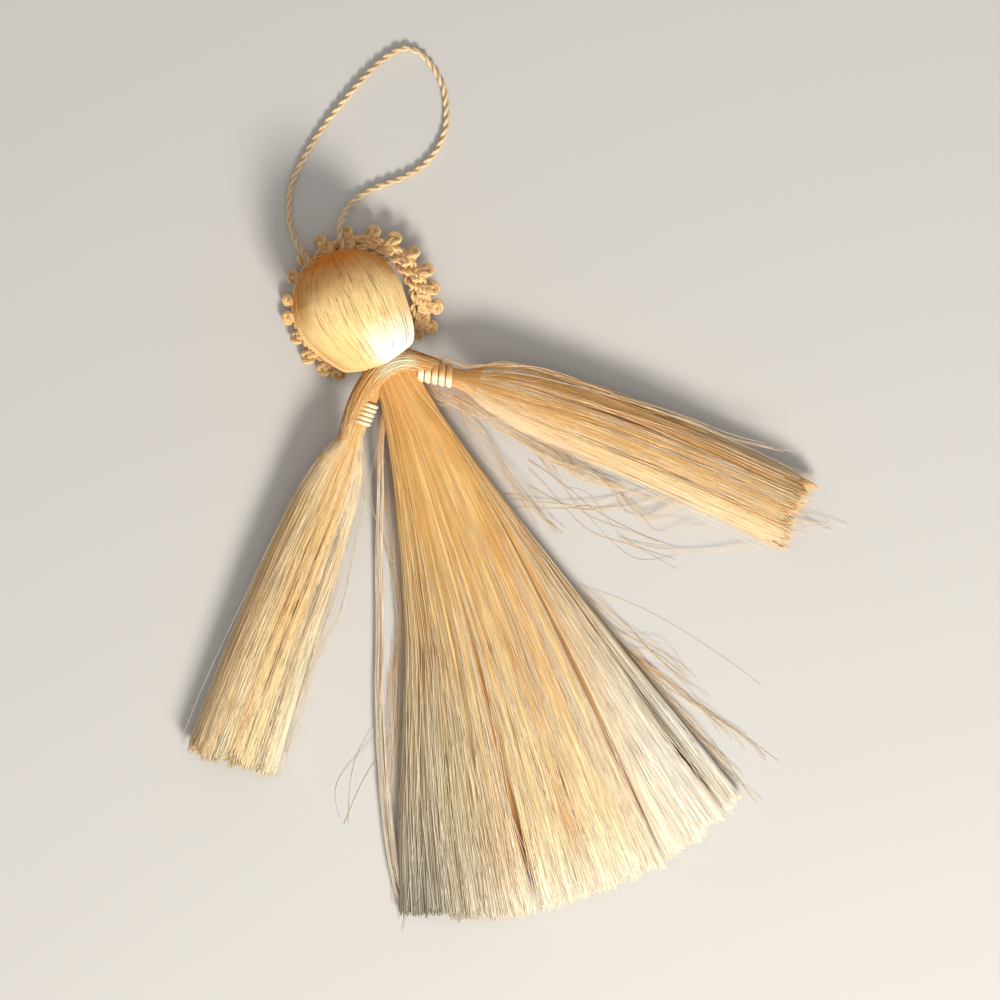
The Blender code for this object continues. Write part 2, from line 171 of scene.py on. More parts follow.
def mixed(material, kind, factor, first, second):
    node = material.node_tree.nodes.new("ShaderNodeMix")
    node.data_type = "RGBA"
    node.blend_type = kind
    link = material.node_tree.links.new
    for socket, value in ((0, factor), (6, first), (7, second)):
        if hasattr(value, "is_linked"):
            link(value, node.inputs[socket])
        elif socket == 0:
            node.inputs[0].default_value = value
        else:
            node.inputs[socket].default_value = (*value, 1)
    return node.outputs[2]


def tinted(material, colour, shade, *amounts):
    return mixed(material, "MIX", product(material, *amounts), colour, shade)


flossLook = {
    "rough": 0.38, "sheen": 0.08, "specular": 0.38,
    "root": (0.84, 0.38, 0.085), "body": (0.94, 0.57, 0.20), "tip": (0.98, 0.82, 0.52), "hold": 0.0,
    "dark": (0.84, 0.42, 0.11), "pale": (0.99, 0.79, 0.41),
    "streaks": ((15.0, 1.4, 0.46), (75.0, 5.0, 0.42)),  # how fine across and along, and their share
    "fibres": (260.0, 12.0), "fibreShades": (0.84, 1.1), "cornerShare": 0.9, "sidesFrom": (0.03, 0.2),
}


def flossMaterial(name, tipFrom=0.45, corner=(), strength=1.0, sides=(), tonesAndPaintedLight=(), gloss=1.0, deep=None,
                  **own):
    look = {**flossLook, **own}
    material, shader = newMaterial(name, look["rough"], look["sheen"] * gloss, look["specular"] * gloss)
    across, along = mapPlace(material)
    root, body = np.array(look["root"]), np.array(look["body"])
    turns = between(look["hold"], tipFrom * 0.7, 0.43)
    colour = ramp(material, along, (
        (0.0, look["root"]), (look["hold"], look["root"]), (turns, tuple(between(root, body, 0.5))),
        (tipFrom * 0.7, look["body"]), (tipFrom, look["body"]), (1.0, look["tip"]),
    ))
    if sides:  # a colour for each part of the bundle's width; on the arms and shoulder this is a painted highlight on the side toward the lamp and painted shade on the side away from it
        tint = ramp(material, across, [(place, shade) for place, shade, _ in sides])
        amount = ramp(material, across, [(place, grey(share)) for place, _, share in sides])
        colour = tinted(material, colour, tint, amount, fade(material, along, *look["sidesFrom"]))
    for fine, long, share in look["streaks"]:
        noise = streaks(material, across, along, fine, long)
        for shade, full in (("dark", 0.34), ("pale", 0.68)):
            colour = tinted(material, colour, look[shade], fade(material, noise, 0.5, full), share * strength)
    fibres, (least, most) = streaks(material, across, along, *look["fibres"]), look["fibreShades"]
    light = ramp(material, fibres, ((0.35, grey(least)), (0.65, grey(most))))
    colour = mixed(material, "MULTIPLY", 1.0, colour, light)
    for low, high, first, last, shade in corner:  # a corner of the bundle in another colour; on the skirt and head one corner is a painted highlight where the lamp falls
        side, end = fade(material, across, low, high), fade(material, along, first, last)
        colour = tinted(material, colour, shade, side, end, look["cornerShare"])
    for middle, half, first, last, shade, amount in tonesAndPaintedLight:  # a band in another colour: painted shade in partings and edges, a painted shadow in the slit, a painted glint at the neck, or a plain tone
        soft = (last - first) / 4
        side = ramp(material, across, ((middle - half, grey(0)), (middle, grey(1)), (middle + half, grey(0))))
        stops = ((first, grey(0)), (first + soft, grey(1)), (last - soft, grey(1)), (last, grey(0)))
        span = ramp(material, along, stops)
        colour = tinted(material, colour, shade, side, span, amount)
    # deep multiplies the whole colour: painted shade for the deeper floss, a plain tint for the arms
    if deep:
        colour = mixed(material, "MULTIPLY", 1.0, colour, deep)
    material.node_tree.links.new(colour, shader.inputs["Base Color"])
    return material


threadLook = {"sheen": 0.15, "sideShare": 0.85}


def threadMaterial(name, shade, light, rough, fine=40.0, long=60.0, sides=()):
    material, shader = newMaterial(name, rough, threadLook["sheen"])
    across, along = mapPlace(material)
    colour = ramp(material, streaks(material, across, along, fine, long), ((0.3, shade), (0.7, light)))
    # sides: painted highlight and painted shade across the winding
    if sides:
        colour = mixed(material, "MIX", threadLook["sideShare"], colour, ramp(material, across, sides))
    material.node_tree.links.new(colour, shader.inputs["Base Color"])
    return material


# Strands: lines of points that geometry nodes turn into fine tubes
def newTree(name, inputs):
    tree = bpy.data.node_groups.new(name, "GeometryNodeTree")
    identifiers = {}
    tree.interface.new_socket("Geometry", in_out="INPUT", socket_type="NodeSocketGeometry")
    for label, (kind, value) in inputs.items():
        socket = tree.interface.new_socket(label, in_out="INPUT", socket_type="NodeSocket" + kind)
        if value is not None:
            socket.default_value = value
        identifiers[label] = socket.identifier
    tree.interface.new_socket("Geometry", in_out="OUTPUT", socket_type="NodeSocketGeometry")
    return tree, identifiers


def joined(tree, rows):
    for source, out, goal, into in rows:
        tree.links.new(source.outputs[out], goal.inputs[into])


def namedValue(tree, name, kind="FLOAT"):
    node = tree.nodes.new("GeometryNodeInputNamedAttribute")
    node.data_type = kind
    node.inputs["Name"].default_value = name
    return node.outputs["Attribute"]


def paintAndEnd(tree, start, geometry):
    new = tree.nodes.new
    realize, paint = new("GeometryNodeRealizeInstances"), new("GeometryNodeSetMaterial")
    tree.links.new(geometry, realize.inputs["Geometry"])
    joined(tree, ((realize, "Geometry", paint, "Geometry"), (start, "Material", paint, "Material"),
                  (paint, "Geometry", new("NodeGroupOutput"), "Geometry")))


def buildStrandTree():
    tree, identifiers = newTree("strands from lines", {
        "Sides": ("Int", 3), "Thickness": ("Float", 1.0), "Map Width": ("Float", 0.002),
        "Material": ("Material", None),
    })
    new, link = tree.nodes.new, tree.links.new
    start, place = new("NodeGroupInput"), new("ShaderNodeCombineXYZ")
    curves, tubes = new("GeometryNodeMeshToCurve"), new("GeometryNodeCurveToMesh")
    ring, turn = new("GeometryNodeCurvePrimitiveCircle"), new("GeometryNodeSplineParameter")
    around, store = new("GeometryNodeStoreNamedAttribute"), new("GeometryNodeStoreNamedAttribute")
    ring.inputs["Radius"].default_value = 1.0
    tubes.inputs["Fill Caps"].default_value = True
    around.data_type, around.domain = "FLOAT", "POINT"
    around.inputs["Name"].default_value = "around"
    store.data_type, store.domain = "FLOAT2", "CORNER"
    store.inputs["Name"].default_value = "OFBake"
    joined(tree, (
        (start, "Geometry", curves, "Mesh"), (start, "Sides", ring, "Resolution"),
        (ring, "Curve", around, "Geometry"), (turn, "Factor", around, "Value"),
        (curves, "Curve", tubes, "Curve"), (around, "Geometry", tubes, "Profile Curve"),
        (tubes, "Mesh", store, "Geometry"),
        (place, "Vector", store, "Value"),
    ))
    link(product(tree, namedValue(tree, "thick"), start.outputs["Thickness"]), tubes.inputs["Scale"])
    width = product(tree, namedValue(tree, "around"), start.outputs["Map Width"])
    link(combined(tree, "ADD", width, namedValue(tree, "across")), place.inputs["X"])
    link(namedValue(tree, "along"), place.inputs["Y"])
    paintAndEnd(tree, start, store.outputs["Geometry"])
    return tree, identifiers


strandTree, strandInputs = buildStrandTree()


def runTree(piece, tree, identifiers, values):
    modifier = piece.modifiers.new(tree.name, "NODES")
    modifier.node_group = tree
    for label, value in values.items():
        modifier[identifiers[label]] = value
    bpy.context.view_layer.update()
    seen = piece.evaluated_get(bpy.context.evaluated_depsgraph_get())
    mesh = bpy.data.meshes.new_from_object(seen)
    piece.modifiers.remove(modifier)
    old = piece.data
    piece.data = mesh
    bpy.data.meshes.remove(old)
    mesh.name = piece.name
    for name in ("thick", "across", "along", "around"):
        if name in mesh.attributes:
            mesh.attributes.remove(mesh.attributes[name])
    return piece


def bundle(lines, thick, across, along):  # lines is count x steps x 3, in mm from the neck
    count, steps = lines.shape[:2]
    spread = [np.broadcast_to(values, (count, steps)) for values in (thick, across, along)]
    return (lines, *spread)


def lineMesh(name, bundles):
    places, edges, values, start = [], [], {"thick": [], "across": [], "along": []}, 0
    for lines, thick, across, along in bundles:
        count, steps = lines.shape[:2]
        index = start + np.arange(count * steps).reshape(count, steps)
        edges.append(np.stack([index[:, :-1], index[:, 1:]], axis=2).reshape(-1, 2))
        places.append(inFrame(lines).reshape(-1, 3))
        for key, value in (("thick", thick * mm), ("across", across), ("along", along)):
            values[key].append(value.ravel())
        start += count * steps
    edges = np.concatenate(edges)
    mesh = bpy.data.meshes.new(name)
    mesh.vertices.add(start)
    mesh.vertices.foreach_set("co", np.concatenate(places).astype(np.float32).ravel())
    mesh.edges.add(len(edges))
    mesh.edges.foreach_set("vertices", edges.astype(np.int32).ravel())
    for key, value in values.items():
        field = mesh.attributes.new(key, "FLOAT", "POINT")
        field.data.foreach_set("value", np.concatenate(value).astype(np.float32))
    mesh.update()
    return mesh


def strandPiece(name, bundles, material, sides=3, mapWidth=0.002):
    piece = placed(name, lineMesh(name, bundles))
    values = {"Sides": sides, "Thickness": 1.0, "Map Width": mapWidth, "Material": material}
    runTree(piece, strandTree, strandInputs, values)
    print(f"{name}: {sum(len(p.vertices) - 2 for p in piece.data.polygons)} triangles")
    return piece


def aboveFloor(lines, radius):  # strands lie on the table, not in it
    lines[..., 2] = np.maximum(lines[..., 2], radius + 0.05)


def wander(rng, count, share):  # a smooth random sway along each strand
    waves, fade = (0.7, 1.6, 3.1), 0.55
    total = np.zeros((count, len(share)))
    for k, wave in enumerate(waves):
        phase = rng.uniform(0, 2 * math.pi, (count, 1))
        stretch = rng.uniform(0.7, 1.3, (count, 1))
        total += fade**k * np.sin(2 * math.pi * wave * stretch * share[None, :] + phase)
    return total


def walkedAlong(line):  # how far along the line each of its points is
    return np.concatenate([[0], np.cumsum(np.linalg.norm(np.diff(line, axis=0), axis=1))])


def pointsAt(wanted, marks, line):  # points of a line at the wanted marks
    return np.stack([np.interp(wanted, marks, line[:, axis]) for axis in range(3)], axis=1)


def curveThrough(places, step):  # points about a step apart on a smooth curve through the places
    places = np.asarray(places, float)
    padded = np.concatenate([[2 * places[0] - places[1]], places, [2 * places[-1] - places[-2]]])
    t = np.linspace(0, 1, 20, endpoint=False)[:, None]
    fine = []
    for a, b, c, d in zip(padded, padded[1:], padded[2:], padded[3:]):
        fine.append(0.5 * (2 * b + (c - a) * t + (2 * a - 5 * b + 4 * c - d) * t * t
                           + (3 * b - a - 3 * c + d) * t**3))
    fine = np.concatenate([*fine, places[-1:]])
    walked = walkedAlong(fine)
    count = max(int(round(walked[-1] / step)), 2)
    wanted = np.linspace(0, walked[-1], count + 1)
    return pointsAt(wanted, walked, fine)


def carriedFrame(path):  # two directions square to the path, carried along it without twist
    along = np.gradient(path, axis=0)
    along /= np.linalg.norm(along, axis=1)[:, None]
    first = np.array([0.0, 0.0, 1.0]) - along[0] * along[0][2]
    if np.linalg.norm(first) < 0.1:
        first = np.array([1.0, 0.0, 0.0]) - along[0] * along[0][0]
    sides = [first / np.linalg.norm(first)]
    for direction in along[1:]:
        side = sides[-1] - direction * np.dot(sides[-1], direction)
        sides.append(side / np.linalg.norm(side))
    sides = np.array(sides)
    return sides, np.cross(along, sides)


def yarn(path, look, phase=0.0):  # plies twisted about the path, each made of fibres twisted the other way
    side, up = carriedFrame(path)
    walked = walkedAlong(path)
    share = walked / walked[-1]
    lines, across = [], []
    for ply in range(look["plies"]):
        angle = 2 * math.pi * (walked / look["pitch"] + ply / look["plies"]) + phase
        middle = path + look["plyOffset"] * (np.cos(angle)[:, None] * side + np.sin(angle)[:, None] * up)
        for fibre in range(look["fibres"]):
            turned = 2 * math.pi * (fibre / look["fibres"] - walked / look["fibrePitch"]) + 1.7 * ply
            out = np.cos(turned)[:, None] * side + np.sin(turned)[:, None] * up
            lines.append(middle + look["fibreOffset"] * out)
            across.append((ply * look["fibres"] + fibre + 0.5) / (look["plies"] * look["fibres"]))
    return bundle(np.array(lines), look["fibreRadius"], np.array(across)[:, None], share[None, :])


# Halo: the band and picots, all of twisted cord
halo = {
    "centre": (-1.25, 13.7), "radius": 10.4, "from": -50.0, "to": 229.0, "width": 3.1, "flatness": 0.7,
    "rise": 3.6, "riseStart": 8.7, "riseRun": 8.0,
    "picots": (-38.9, -22.4, -8.3, 6.5, 23.8, 41.9, 58.9, 79.7, 101.0, 119.9, 136.0, 155.0, 168.7, 185.7,
               203.2, 219.0, 230.4),
    "reach": 3.35, "picotRadius": 1.6,
}
braidYarn = {
    "plies": 2, "plyOffset": 0.27, "pitch": 2.7, "fibres": 7, "fibreOffset": 0.23, "fibrePitch": 3.4,
    "fibreRadius": 0.125,
}
picotYarn = {
    "plies": 2, "plyOffset": 0.48, "pitch": 6.0, "fibres": 8, "fibreOffset": 0.4, "fibrePitch": 9.0,
    "fibreRadius": 0.2,
}


def braidHeight(x, y):
    low = max(halo["width"] / 2, halo["picotRadius"]) * halo["flatness"]
    across = np.clip((x - halo["centre"][0] + halo["radius"]) / (2 * halo["radius"]), 0, 1)
    upward = ease((y - halo["centre"][1] + halo["riseStart"]) / halo["riseRun"])
    return low + halo["rise"] * across**3 * upward


def onHalo(degrees, radius):
    angle = np.radians(degrees)
    x = halo["centre"][0] + np.cos(angle) * radius
    y = halo["centre"][1] + np.sin(angle) * radius
    inX = halo["centre"][0] + np.cos(angle) * halo["radius"]
    inY = halo["centre"][1] + np.sin(angle) * halo["radius"]
    return np.stack([x, y, braidHeight(inX, inY) + 0 * x], axis=-1)


# Hanging loop: x and y of the cord, the same as the solid's
loop = {"diameter": 1.3, "lift": 0.25, "drop": 6.0, "step": 0.4}
loopRoute = (
    (-6.9, 23.2), (-7.7, 25.6), (-8.4, 28.5), (-8.4, 32.0), (-7.7, 35.3), (-5.9, 39.1),
    (-3.0, 42.3), (0.9, 45.5), (5.4, 48.6), (9.6, 51.1), (13.8, 53.4), (18.1, 55.3),
    (21.8, 56.3), (24.4, 56.1), (26.6, 54.0), (27.8, 50.4), (28.1, 46.4), (27.1, 42.3),
    (25.4, 38.8), (22.6, 36.0), (18.9, 34.1), (14.8, 33.5), (10.6, 33.6), (6.7, 33.3),
    (3.5, 32.1), (0.9, 29.8), (-0.3, 27.2), (-0.6, 24.7),
)
loopYarn = {
    "plies": 2, "plyOffset": 0.31, "pitch": 4.1, "fibres": 7, "fibreOffset": 0.21, "fibrePitch": 6.5,
    "fibreRadius": 0.125,
}


def loopPath():
    radius = loop["diameter"] / 2
    line = curveThrough([(x, y, 0) for x, y in loopRoute], radius)
    away = line[:, :2] - np.array(halo["centre"])
    out = np.linalg.norm(away, axis=1)
    beneath = np.array(halo["centre"]) + away / out[:, None] * halo["radius"]
    edge = halo["radius"] + halo["reach"] + halo["picotRadius"]
    over = braidHeight(beneath[:, 0], beneath[:, 1]) + halo["width"] * halo["flatness"] / 2
    over += radius + loop["lift"]
    line[:, 2] = between(over, radius, ease((out - edge) / loop["drop"]))
    return curveThrough(line, loop["step"])


def hangingLoop():
    path = loopPath()
    material = threadMaterial("pale twisted cord", (0.86, 0.60, 0.31),
                              (0.98, 0.84, 0.58), rough=0.36, fine=30, long=60)
    piece = strandPiece("loop_of_cord", [yarn(path, loopYarn)], material, mapWidth=0.05)
    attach(piece, "root")
    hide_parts("hanging_loop")


hangingLoop()


picot = {
    "loop": 0.72, "leg": 0.4, "root": 0.4, "neck": 2.4, "step": 0.3, "ripple": 0.16,
    "seed": 5, "tilt": 0.5, "sizes": 0.1, "dip": -0.05,
}


def picotPath():  # up one leg, round the knob and down the other, x along the stem
    centre = halo["reach"]
    places = [(picot["root"], -picot["leg"] * 0.8, 0), (picot["neck"] * 0.5, -picot["leg"], 0)]
    for degrees in (215, 260, 305, 350, 35, 80, 125):
        angle = math.radians(degrees + 10)
        z = picot["ripple"] * math.sin(angle * 2)
        places.append((centre + picot["loop"] * math.cos(angle), picot["loop"] * math.sin(angle), z))
    places += [(picot["neck"] * 0.5, picot["leg"], 0), (picot["root"], picot["leg"] * 0.8, 0)]
    return curveThrough(places, picot["step"])


def buildPicotTree():  # one picot, set at each point with its own turn, tilt and size
    tree, identifiers = newTree("picots round a band", {
        "Picot": ("Object", None), "Smallest": ("Float", 0.95), "Largest": ("Float", 1.05),
        "Seed": ("Int", 1), "Material": ("Material", None),
    })
    new = tree.nodes.new
    start, source = new("NodeGroupInput"), new("GeometryNodeObjectInfo")
    place, size = new("GeometryNodeInstanceOnPoints"), new("FunctionNodeRandomValue")
    whole = new("FunctionNodeEulerToRotation")
    size.data_type = "FLOAT"
    tree.links.new(namedValue(tree, "turn", "FLOAT_VECTOR"), whole.inputs["Euler"])
    joined(tree, (
        (start, "Picot", source, "Object"), (start, "Smallest", size, 2), (start, "Largest", size, 3),
        (start, "Seed", size, "Seed"), (start, "Geometry", place, "Points"),
        (source, "Geometry", place, "Instance"),
        (whole, "Rotation", place, "Rotation"), (size, 1, place, "Scale"),
    ))
    paintAndEnd(tree, start, place.outputs["Instances"])
    return tree, identifiers


band = {
    "rings": ((0.1, 0.7), (1.25, 0.6), (2.1, 0.4)),  # how far out each pair of cords lies, and its swing
    "lift": 0.5, "step": 0.5, "overlap": 2.0,
}


def bandPaths():  # pairs of cords that cross between picots, so that they leave a scallop inside each
    angles = np.array(halo["picots"])
    degrees = np.arange(halo["from"] - band["overlap"], halo["to"] + band["overlap"], 0.8)
    inner = np.concatenate([[angles[0] - 15.0], angles, [angles[-1] + 15.0]])
    phase = math.pi * np.interp(degrees, inner, np.arange(len(inner)))
    paths = []
    for outwards, swing in band["rings"]:
        for way in (1, -1):
            line = onHalo(degrees, halo["radius"] + outwards + way * swing * np.cos(phase + outwards))
            line[:, 2] += way * band["lift"] * np.sin(phase + outwards)
            paths.append(curveThrough(line, band["step"]))
    return paths


def haloPieces():
    rng = np.random.default_rng(picot["seed"])
    material = threadMaterial("looped braid", (0.93, 0.51, 0.17), (1.0, 0.80, 0.46),
                              rough=0.36, fine=26, long=30)
    cords = [yarn(path, braidYarn) for path in bandPaths()]
    bandPiece = strandPiece("halo_band", cords, material, mapWidth=0.05)
    one = strandPiece("one_picot", [yarn(picotPath(), picotYarn)], material, mapWidth=0.05)
    one.data.transform(Matrix.Translation((-neckX * mm, -neckY * mm, 0)))  # its stem starts at the origin
    angles = np.array(halo["picots"])
    places = onHalo(angles, np.full(len(angles), halo["radius"]))
    points = bpy.data.meshes.new("picots")
    points.from_pydata([tuple(place) for place in inFrame(places)], [], [])
    turns = np.zeros((len(angles), 3))
    turns[:, 0] = rng.uniform(-picot["tilt"], picot["tilt"], len(angles))
    turns[:, 1] = picot["dip"]
    turns[:, 2] = np.radians(angles)
    points.attributes.new("turn", "FLOAT_VECTOR", "POINT").data.foreach_set("vector", turns.ravel())
    ring = placed("halo_picots", points)
    tree, identifiers = buildPicotTree()
    runTree(ring, tree, identifiers, {
        "Picot": one, "Smallest": 1 - picot["sizes"], "Largest": 1 + picot["sizes"] / 2,
        "Seed": picot["seed"], "Material": material,
    })
    bpy.data.objects.remove(one)
    for piece in (bandPiece, ring):
        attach(piece, "root")
        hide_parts("halo_braid")


haloPieces()
print("halo is made")


# Under-layers: the deeper floss of each bundle, a little inside its solid
def underLayer(node, name, material, inset, rounds, placeOnMap, reshape=None):
    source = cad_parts[node]
    shape = bmesh.new()
    shape.from_mesh(source.data)
    bmesh.ops.remove_doubles(shape, verts=shape.verts[:], dist=0.001 * mm)
    for _ in range(rounds):
        bmesh.ops.smooth_vert(shape, verts=shape.verts[:], factor=0.5, use_axis_x=True, use_axis_y=True,
                              use_axis_z=True)
    shape.normal_update()
    for vertex, normal in [(vertex, vertex.normal.copy()) for vertex in shape.verts]:
        vertex.co -= normal * inset * mm
        vertex.co.z = max(vertex.co.z, 0.15 * mm)
        if reshape:
            x, y, z = vertex.co / mm
            vertex.co = inFrame(reshape(x - neckX, y - neckY, z))
    layer = shape.loops.layers.uv.new("OFBake")
    for face in shape.faces:
        for corner in face.loops:
            x, y, z = corner.vert.co / mm
            corner[layer].uv = placeOnMap(x - neckX, y - neckY, z)
    mesh = bpy.data.meshes.new(name)
    shape.to_mesh(mesh)
    shape.free()
    mesh.shade_smooth()
    mesh.materials.clear()
    mesh.materials.append(material)
    piece = placed(name, mesh)
    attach(piece, "root")
    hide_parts(node)
    return piece


# Skirt: a fan of floss in locks
skirt = {
    "length": 103.9, "belly": 3.3, "skew": 1.0, "left": 20.0, "right": 18.3, "pinch": 2.6, "pinched": 0.42,
    "thickness": 5.0, "edge": 1.4, "lands": 34.0, "settles": 0.22, "seed": 11,
    "locks": 27, "lockDepth": 0.75, "clump": 0.14, "top": 3300, "deep": 2150,
    "rootRadius": 0.055, "endRadius": 0.135,
    "steps": (0, 0.02, 0.06, 0.12, 0.22, 0.36, 0.52, 0.68, 0.84, 1.0),
    "foldAt": 0.45, "foldShift": 0.33,  # the groove down the right side, and how far it slides across
    "within": 0.955, "cut": 0.7, "rootHalf": 4.1, "ragged": 0.45,
    "drift": 0.018, "strays": 0.18, "strayDrift": 0.055, "crossAt": 0.6,  # strands that cross others
    "sizes": (0.75, 1.2), "looseShare": 0.04, "looseRise": (0.2, 0.9), "outer": 0.22, "inner": 0.8,
    "sway": 0.010, "wander": 0.013, "heightSway": 0.18, "heightWander": 0.16,  # of a lock, and of one strand
    "calmWidth": 0.05,  # strands this near a parting keep to their side
    "mapHalf": 0.46, "mapLeft": 0.026, "mapRight": 0.0279, "leftWithin": 0.93,
    "parts": ((-0.31, 0.013, 0.5, 1.06), (0.45, 0.014, 0.3, 1.06), (0.885, 0.024, 0.66, 0.98)),
    # where the floss parts, how wide, and the shares of its length at which that begins and ends
    # painted shade: the shade colour darkens the deeper floss, and the groove and slit colours paint shade
    # into the partings and a shadow into the open slit
    "shade": (0.52, 0.38, 0.24), "grooveShade": (0.66, 0.28, 0.06), "slitShadow": (0.09, 0.05, 0.025),
}


def fanPoint(away, across, lift):
    s = skirt
    drawnIn = s["pinch"] * (1 - ease(away / (s["pinched"] * s["length"]) - 1))
    side = np.where(across < 0, s["left"] - drawnIn, s["right"])
    slant = np.radians(side * np.abs(across))
    half = np.hypot(s["rootHalf"], away * np.sin(np.radians(side)))
    belly = (s["belly"] * (1 - across**2) + s["skew"] * across) * ease(away / s["length"])
    lying = ease(away / s["lands"])
    edge = between(neck["height"], s["edge"], ease(away / s["lands"] * 0.9))
    settle = np.exp(-np.maximum(away, 0) / (s["settles"] * s["length"]))
    top = s["thickness"] + (neck["height"] + neck["radius"] - s["thickness"]) * settle
    bottom = (neck["height"] - neck["radius"]) * (1 - lying)
    rise = np.clip(1 - across**2, 0, 1)
    over = edge + (top - edge) * rise ** between(0.5, 0.32, lying)
    under = edge - (edge - bottom) * np.minimum(1.0, rise**0.5 * between(1.0, 1.9, lying))
    return np.stack([half * across, -(away + belly) * np.cos(slant), between(under, over, lift)], axis=-1)


def lockStarts(rng, count, widest=1.5):  # where locks of uneven width begin, from 0 to 2
    widths = rng.uniform(0.5, widest, count)
    return np.concatenate([[0], np.cumsum(widths)]) / widths.sum() * 2


def inLocks(edges, place):  # each strand's lock, the middle and half width of that, and its place in it
    lock = np.clip(np.searchsorted(edges, place[:, 0]) - 1, 0, len(edges) - 2)
    middle = ((edges[lock] + edges[lock + 1]) / 2)[:, None]
    half = ((edges[lock + 1] - edges[lock]) / 2)[:, None]
    return lock, middle, half, (place - middle) / half


def lockEdges(rng):  # where one lock of the skirt ends and the next begins, from -1 to 1
    edges = lockStarts(rng, skirt["locks"]) - 1
    for wanted in (part[0] for part in skirt["parts"]):
        edges[np.argmin(np.abs(edges[1:-1] - wanted)) + 1] = wanted
    return np.sort(edges)


def fanWarp(end, share):  # strands on the right leave the root wide and keep straight
    peak = np.where(end < skirt["foldAt"], ((end + 1) / (1 + skirt["foldAt"])) ** 2,
                    ((1 - end) / (1 - skirt["foldAt"])) ** 0.8)
    return skirt["foldShift"] * peak * np.clip((1 - share) / 0.7, 0, 1.25) ** 1.5 * ease(share / 0.16)


def fanStrands(rng, count, edges, lift, loose=0.0, radius=1.0):
    share = np.array(skirt["steps"])
    end = np.sort(rng.uniform(-1, 1, count))[:, None]
    lock, middle, half, inLock = inLocks(edges, end)
    grown = ease(share / 0.5)[None, :]
    across = middle + half * inLock * (1 - skirt["clump"] * grown)
    across = across + fanWarp(end, share[None, :])
    calm = np.ones((count, 1))
    for where, gap, first, last in skirt["parts"]:
        aside = end - where
        window = ease((share - first) / 0.15) * ease((last - share) / 0.15)
        across = across + np.sign(aside) * gap * np.exp(-np.abs(aside) / (3 * gap)) * window
        calm = np.minimum(calm, 1 - 0.9 * np.exp(-(aside / skirt["calmWidth"]) ** 2))
    lockSway = np.random.default_rng(skirt["seed"] + 1).normal(0, 1, (len(edges), 2))[lock]
    across = across + skirt["sway"] * lockSway[:, :1] * grown * (1 - np.abs(end)) ** 0.3
    across = across + skirt["wander"] * calm * grown * wander(rng, count, share)
    drift = rng.normal(0, skirt["drift"], (count, 1))
    strays = rng.uniform(size=(count, 1)) < skirt["strays"]
    drift = drift + strays * rng.normal(0, skirt["strayDrift"], (count, 1))
    drift = drift * calm + loose * rng.normal(0, 2 * skirt["strayDrift"], (count, 1))
    across = across + drift * (share - skirt["crossAt"])[None, :] * grown
    ragged = rng.normal(0, skirt["ragged"], (count, 1)) + 0.4 * lockSway[:, 1:]
    ragged = ragged - rng.exponential(0.5, (count, 1))
    away = -0.4 + (skirt["length"] - skirt["cut"] + ragged + 0.4) * share[None, :]
    across = np.clip(across, -1.0, 1.0)
    lines = fanPoint(away, across, lift)
    relief = skirt["lockDepth"] * np.abs(inLock) ** 3 * grown * (1 - across**2) ** 0.3
    lines[..., 2] -= relief * lift
    raised = skirt["heightWander"] * grown * wander(rng, count, share)
    lines[..., 2] += raised + skirt["heightSway"] * lockSway[:, :1] * grown
    lines[..., 2] += loose * rng.uniform(*skirt["looseRise"], (count, 1)) * np.sin(math.pi * share)[None, :]
    size = between(skirt["rootRadius"], skirt["endRadius"], share**0.7)[None, :]
    size = size * rng.uniform(*skirt["sizes"], (count, 1)) * radius
    aboveFloor(lines, size)
    place = 0.5 + skirt["mapHalf"] * end + rng.uniform(-0.006, 0.006, (count, 1))
    return bundle(lines, size, place, 0.01 + 0.98 * share[None, :])


def fanOnMap(x, y, z):
    angle = math.degrees(math.atan2(x, max(-y, 0.1) + 8))
    place = 0.5 + skirt["mapLeft" if x < 0 else "mapRight"] * angle  # as on the strands' map
    return min(max(place, 0.02), 0.98), min(max(math.hypot(x, y) / skirt["length"], 0.01), 0.99)


def fanInside(x, y, z):
    away = -y * skirt["within"]
    side = math.sin(math.radians(skirt["left"] - skirt["pinch"]))
    leftEdge = -skirt["leftWithin"] * math.hypot(neck["radius"], max(away, 0) * side)
    lower = 1 - 0.5 * ease((away / skirt["length"] - 0.75) / 0.2)
    return max(x * skirt["within"], leftEdge), -away, z * lower


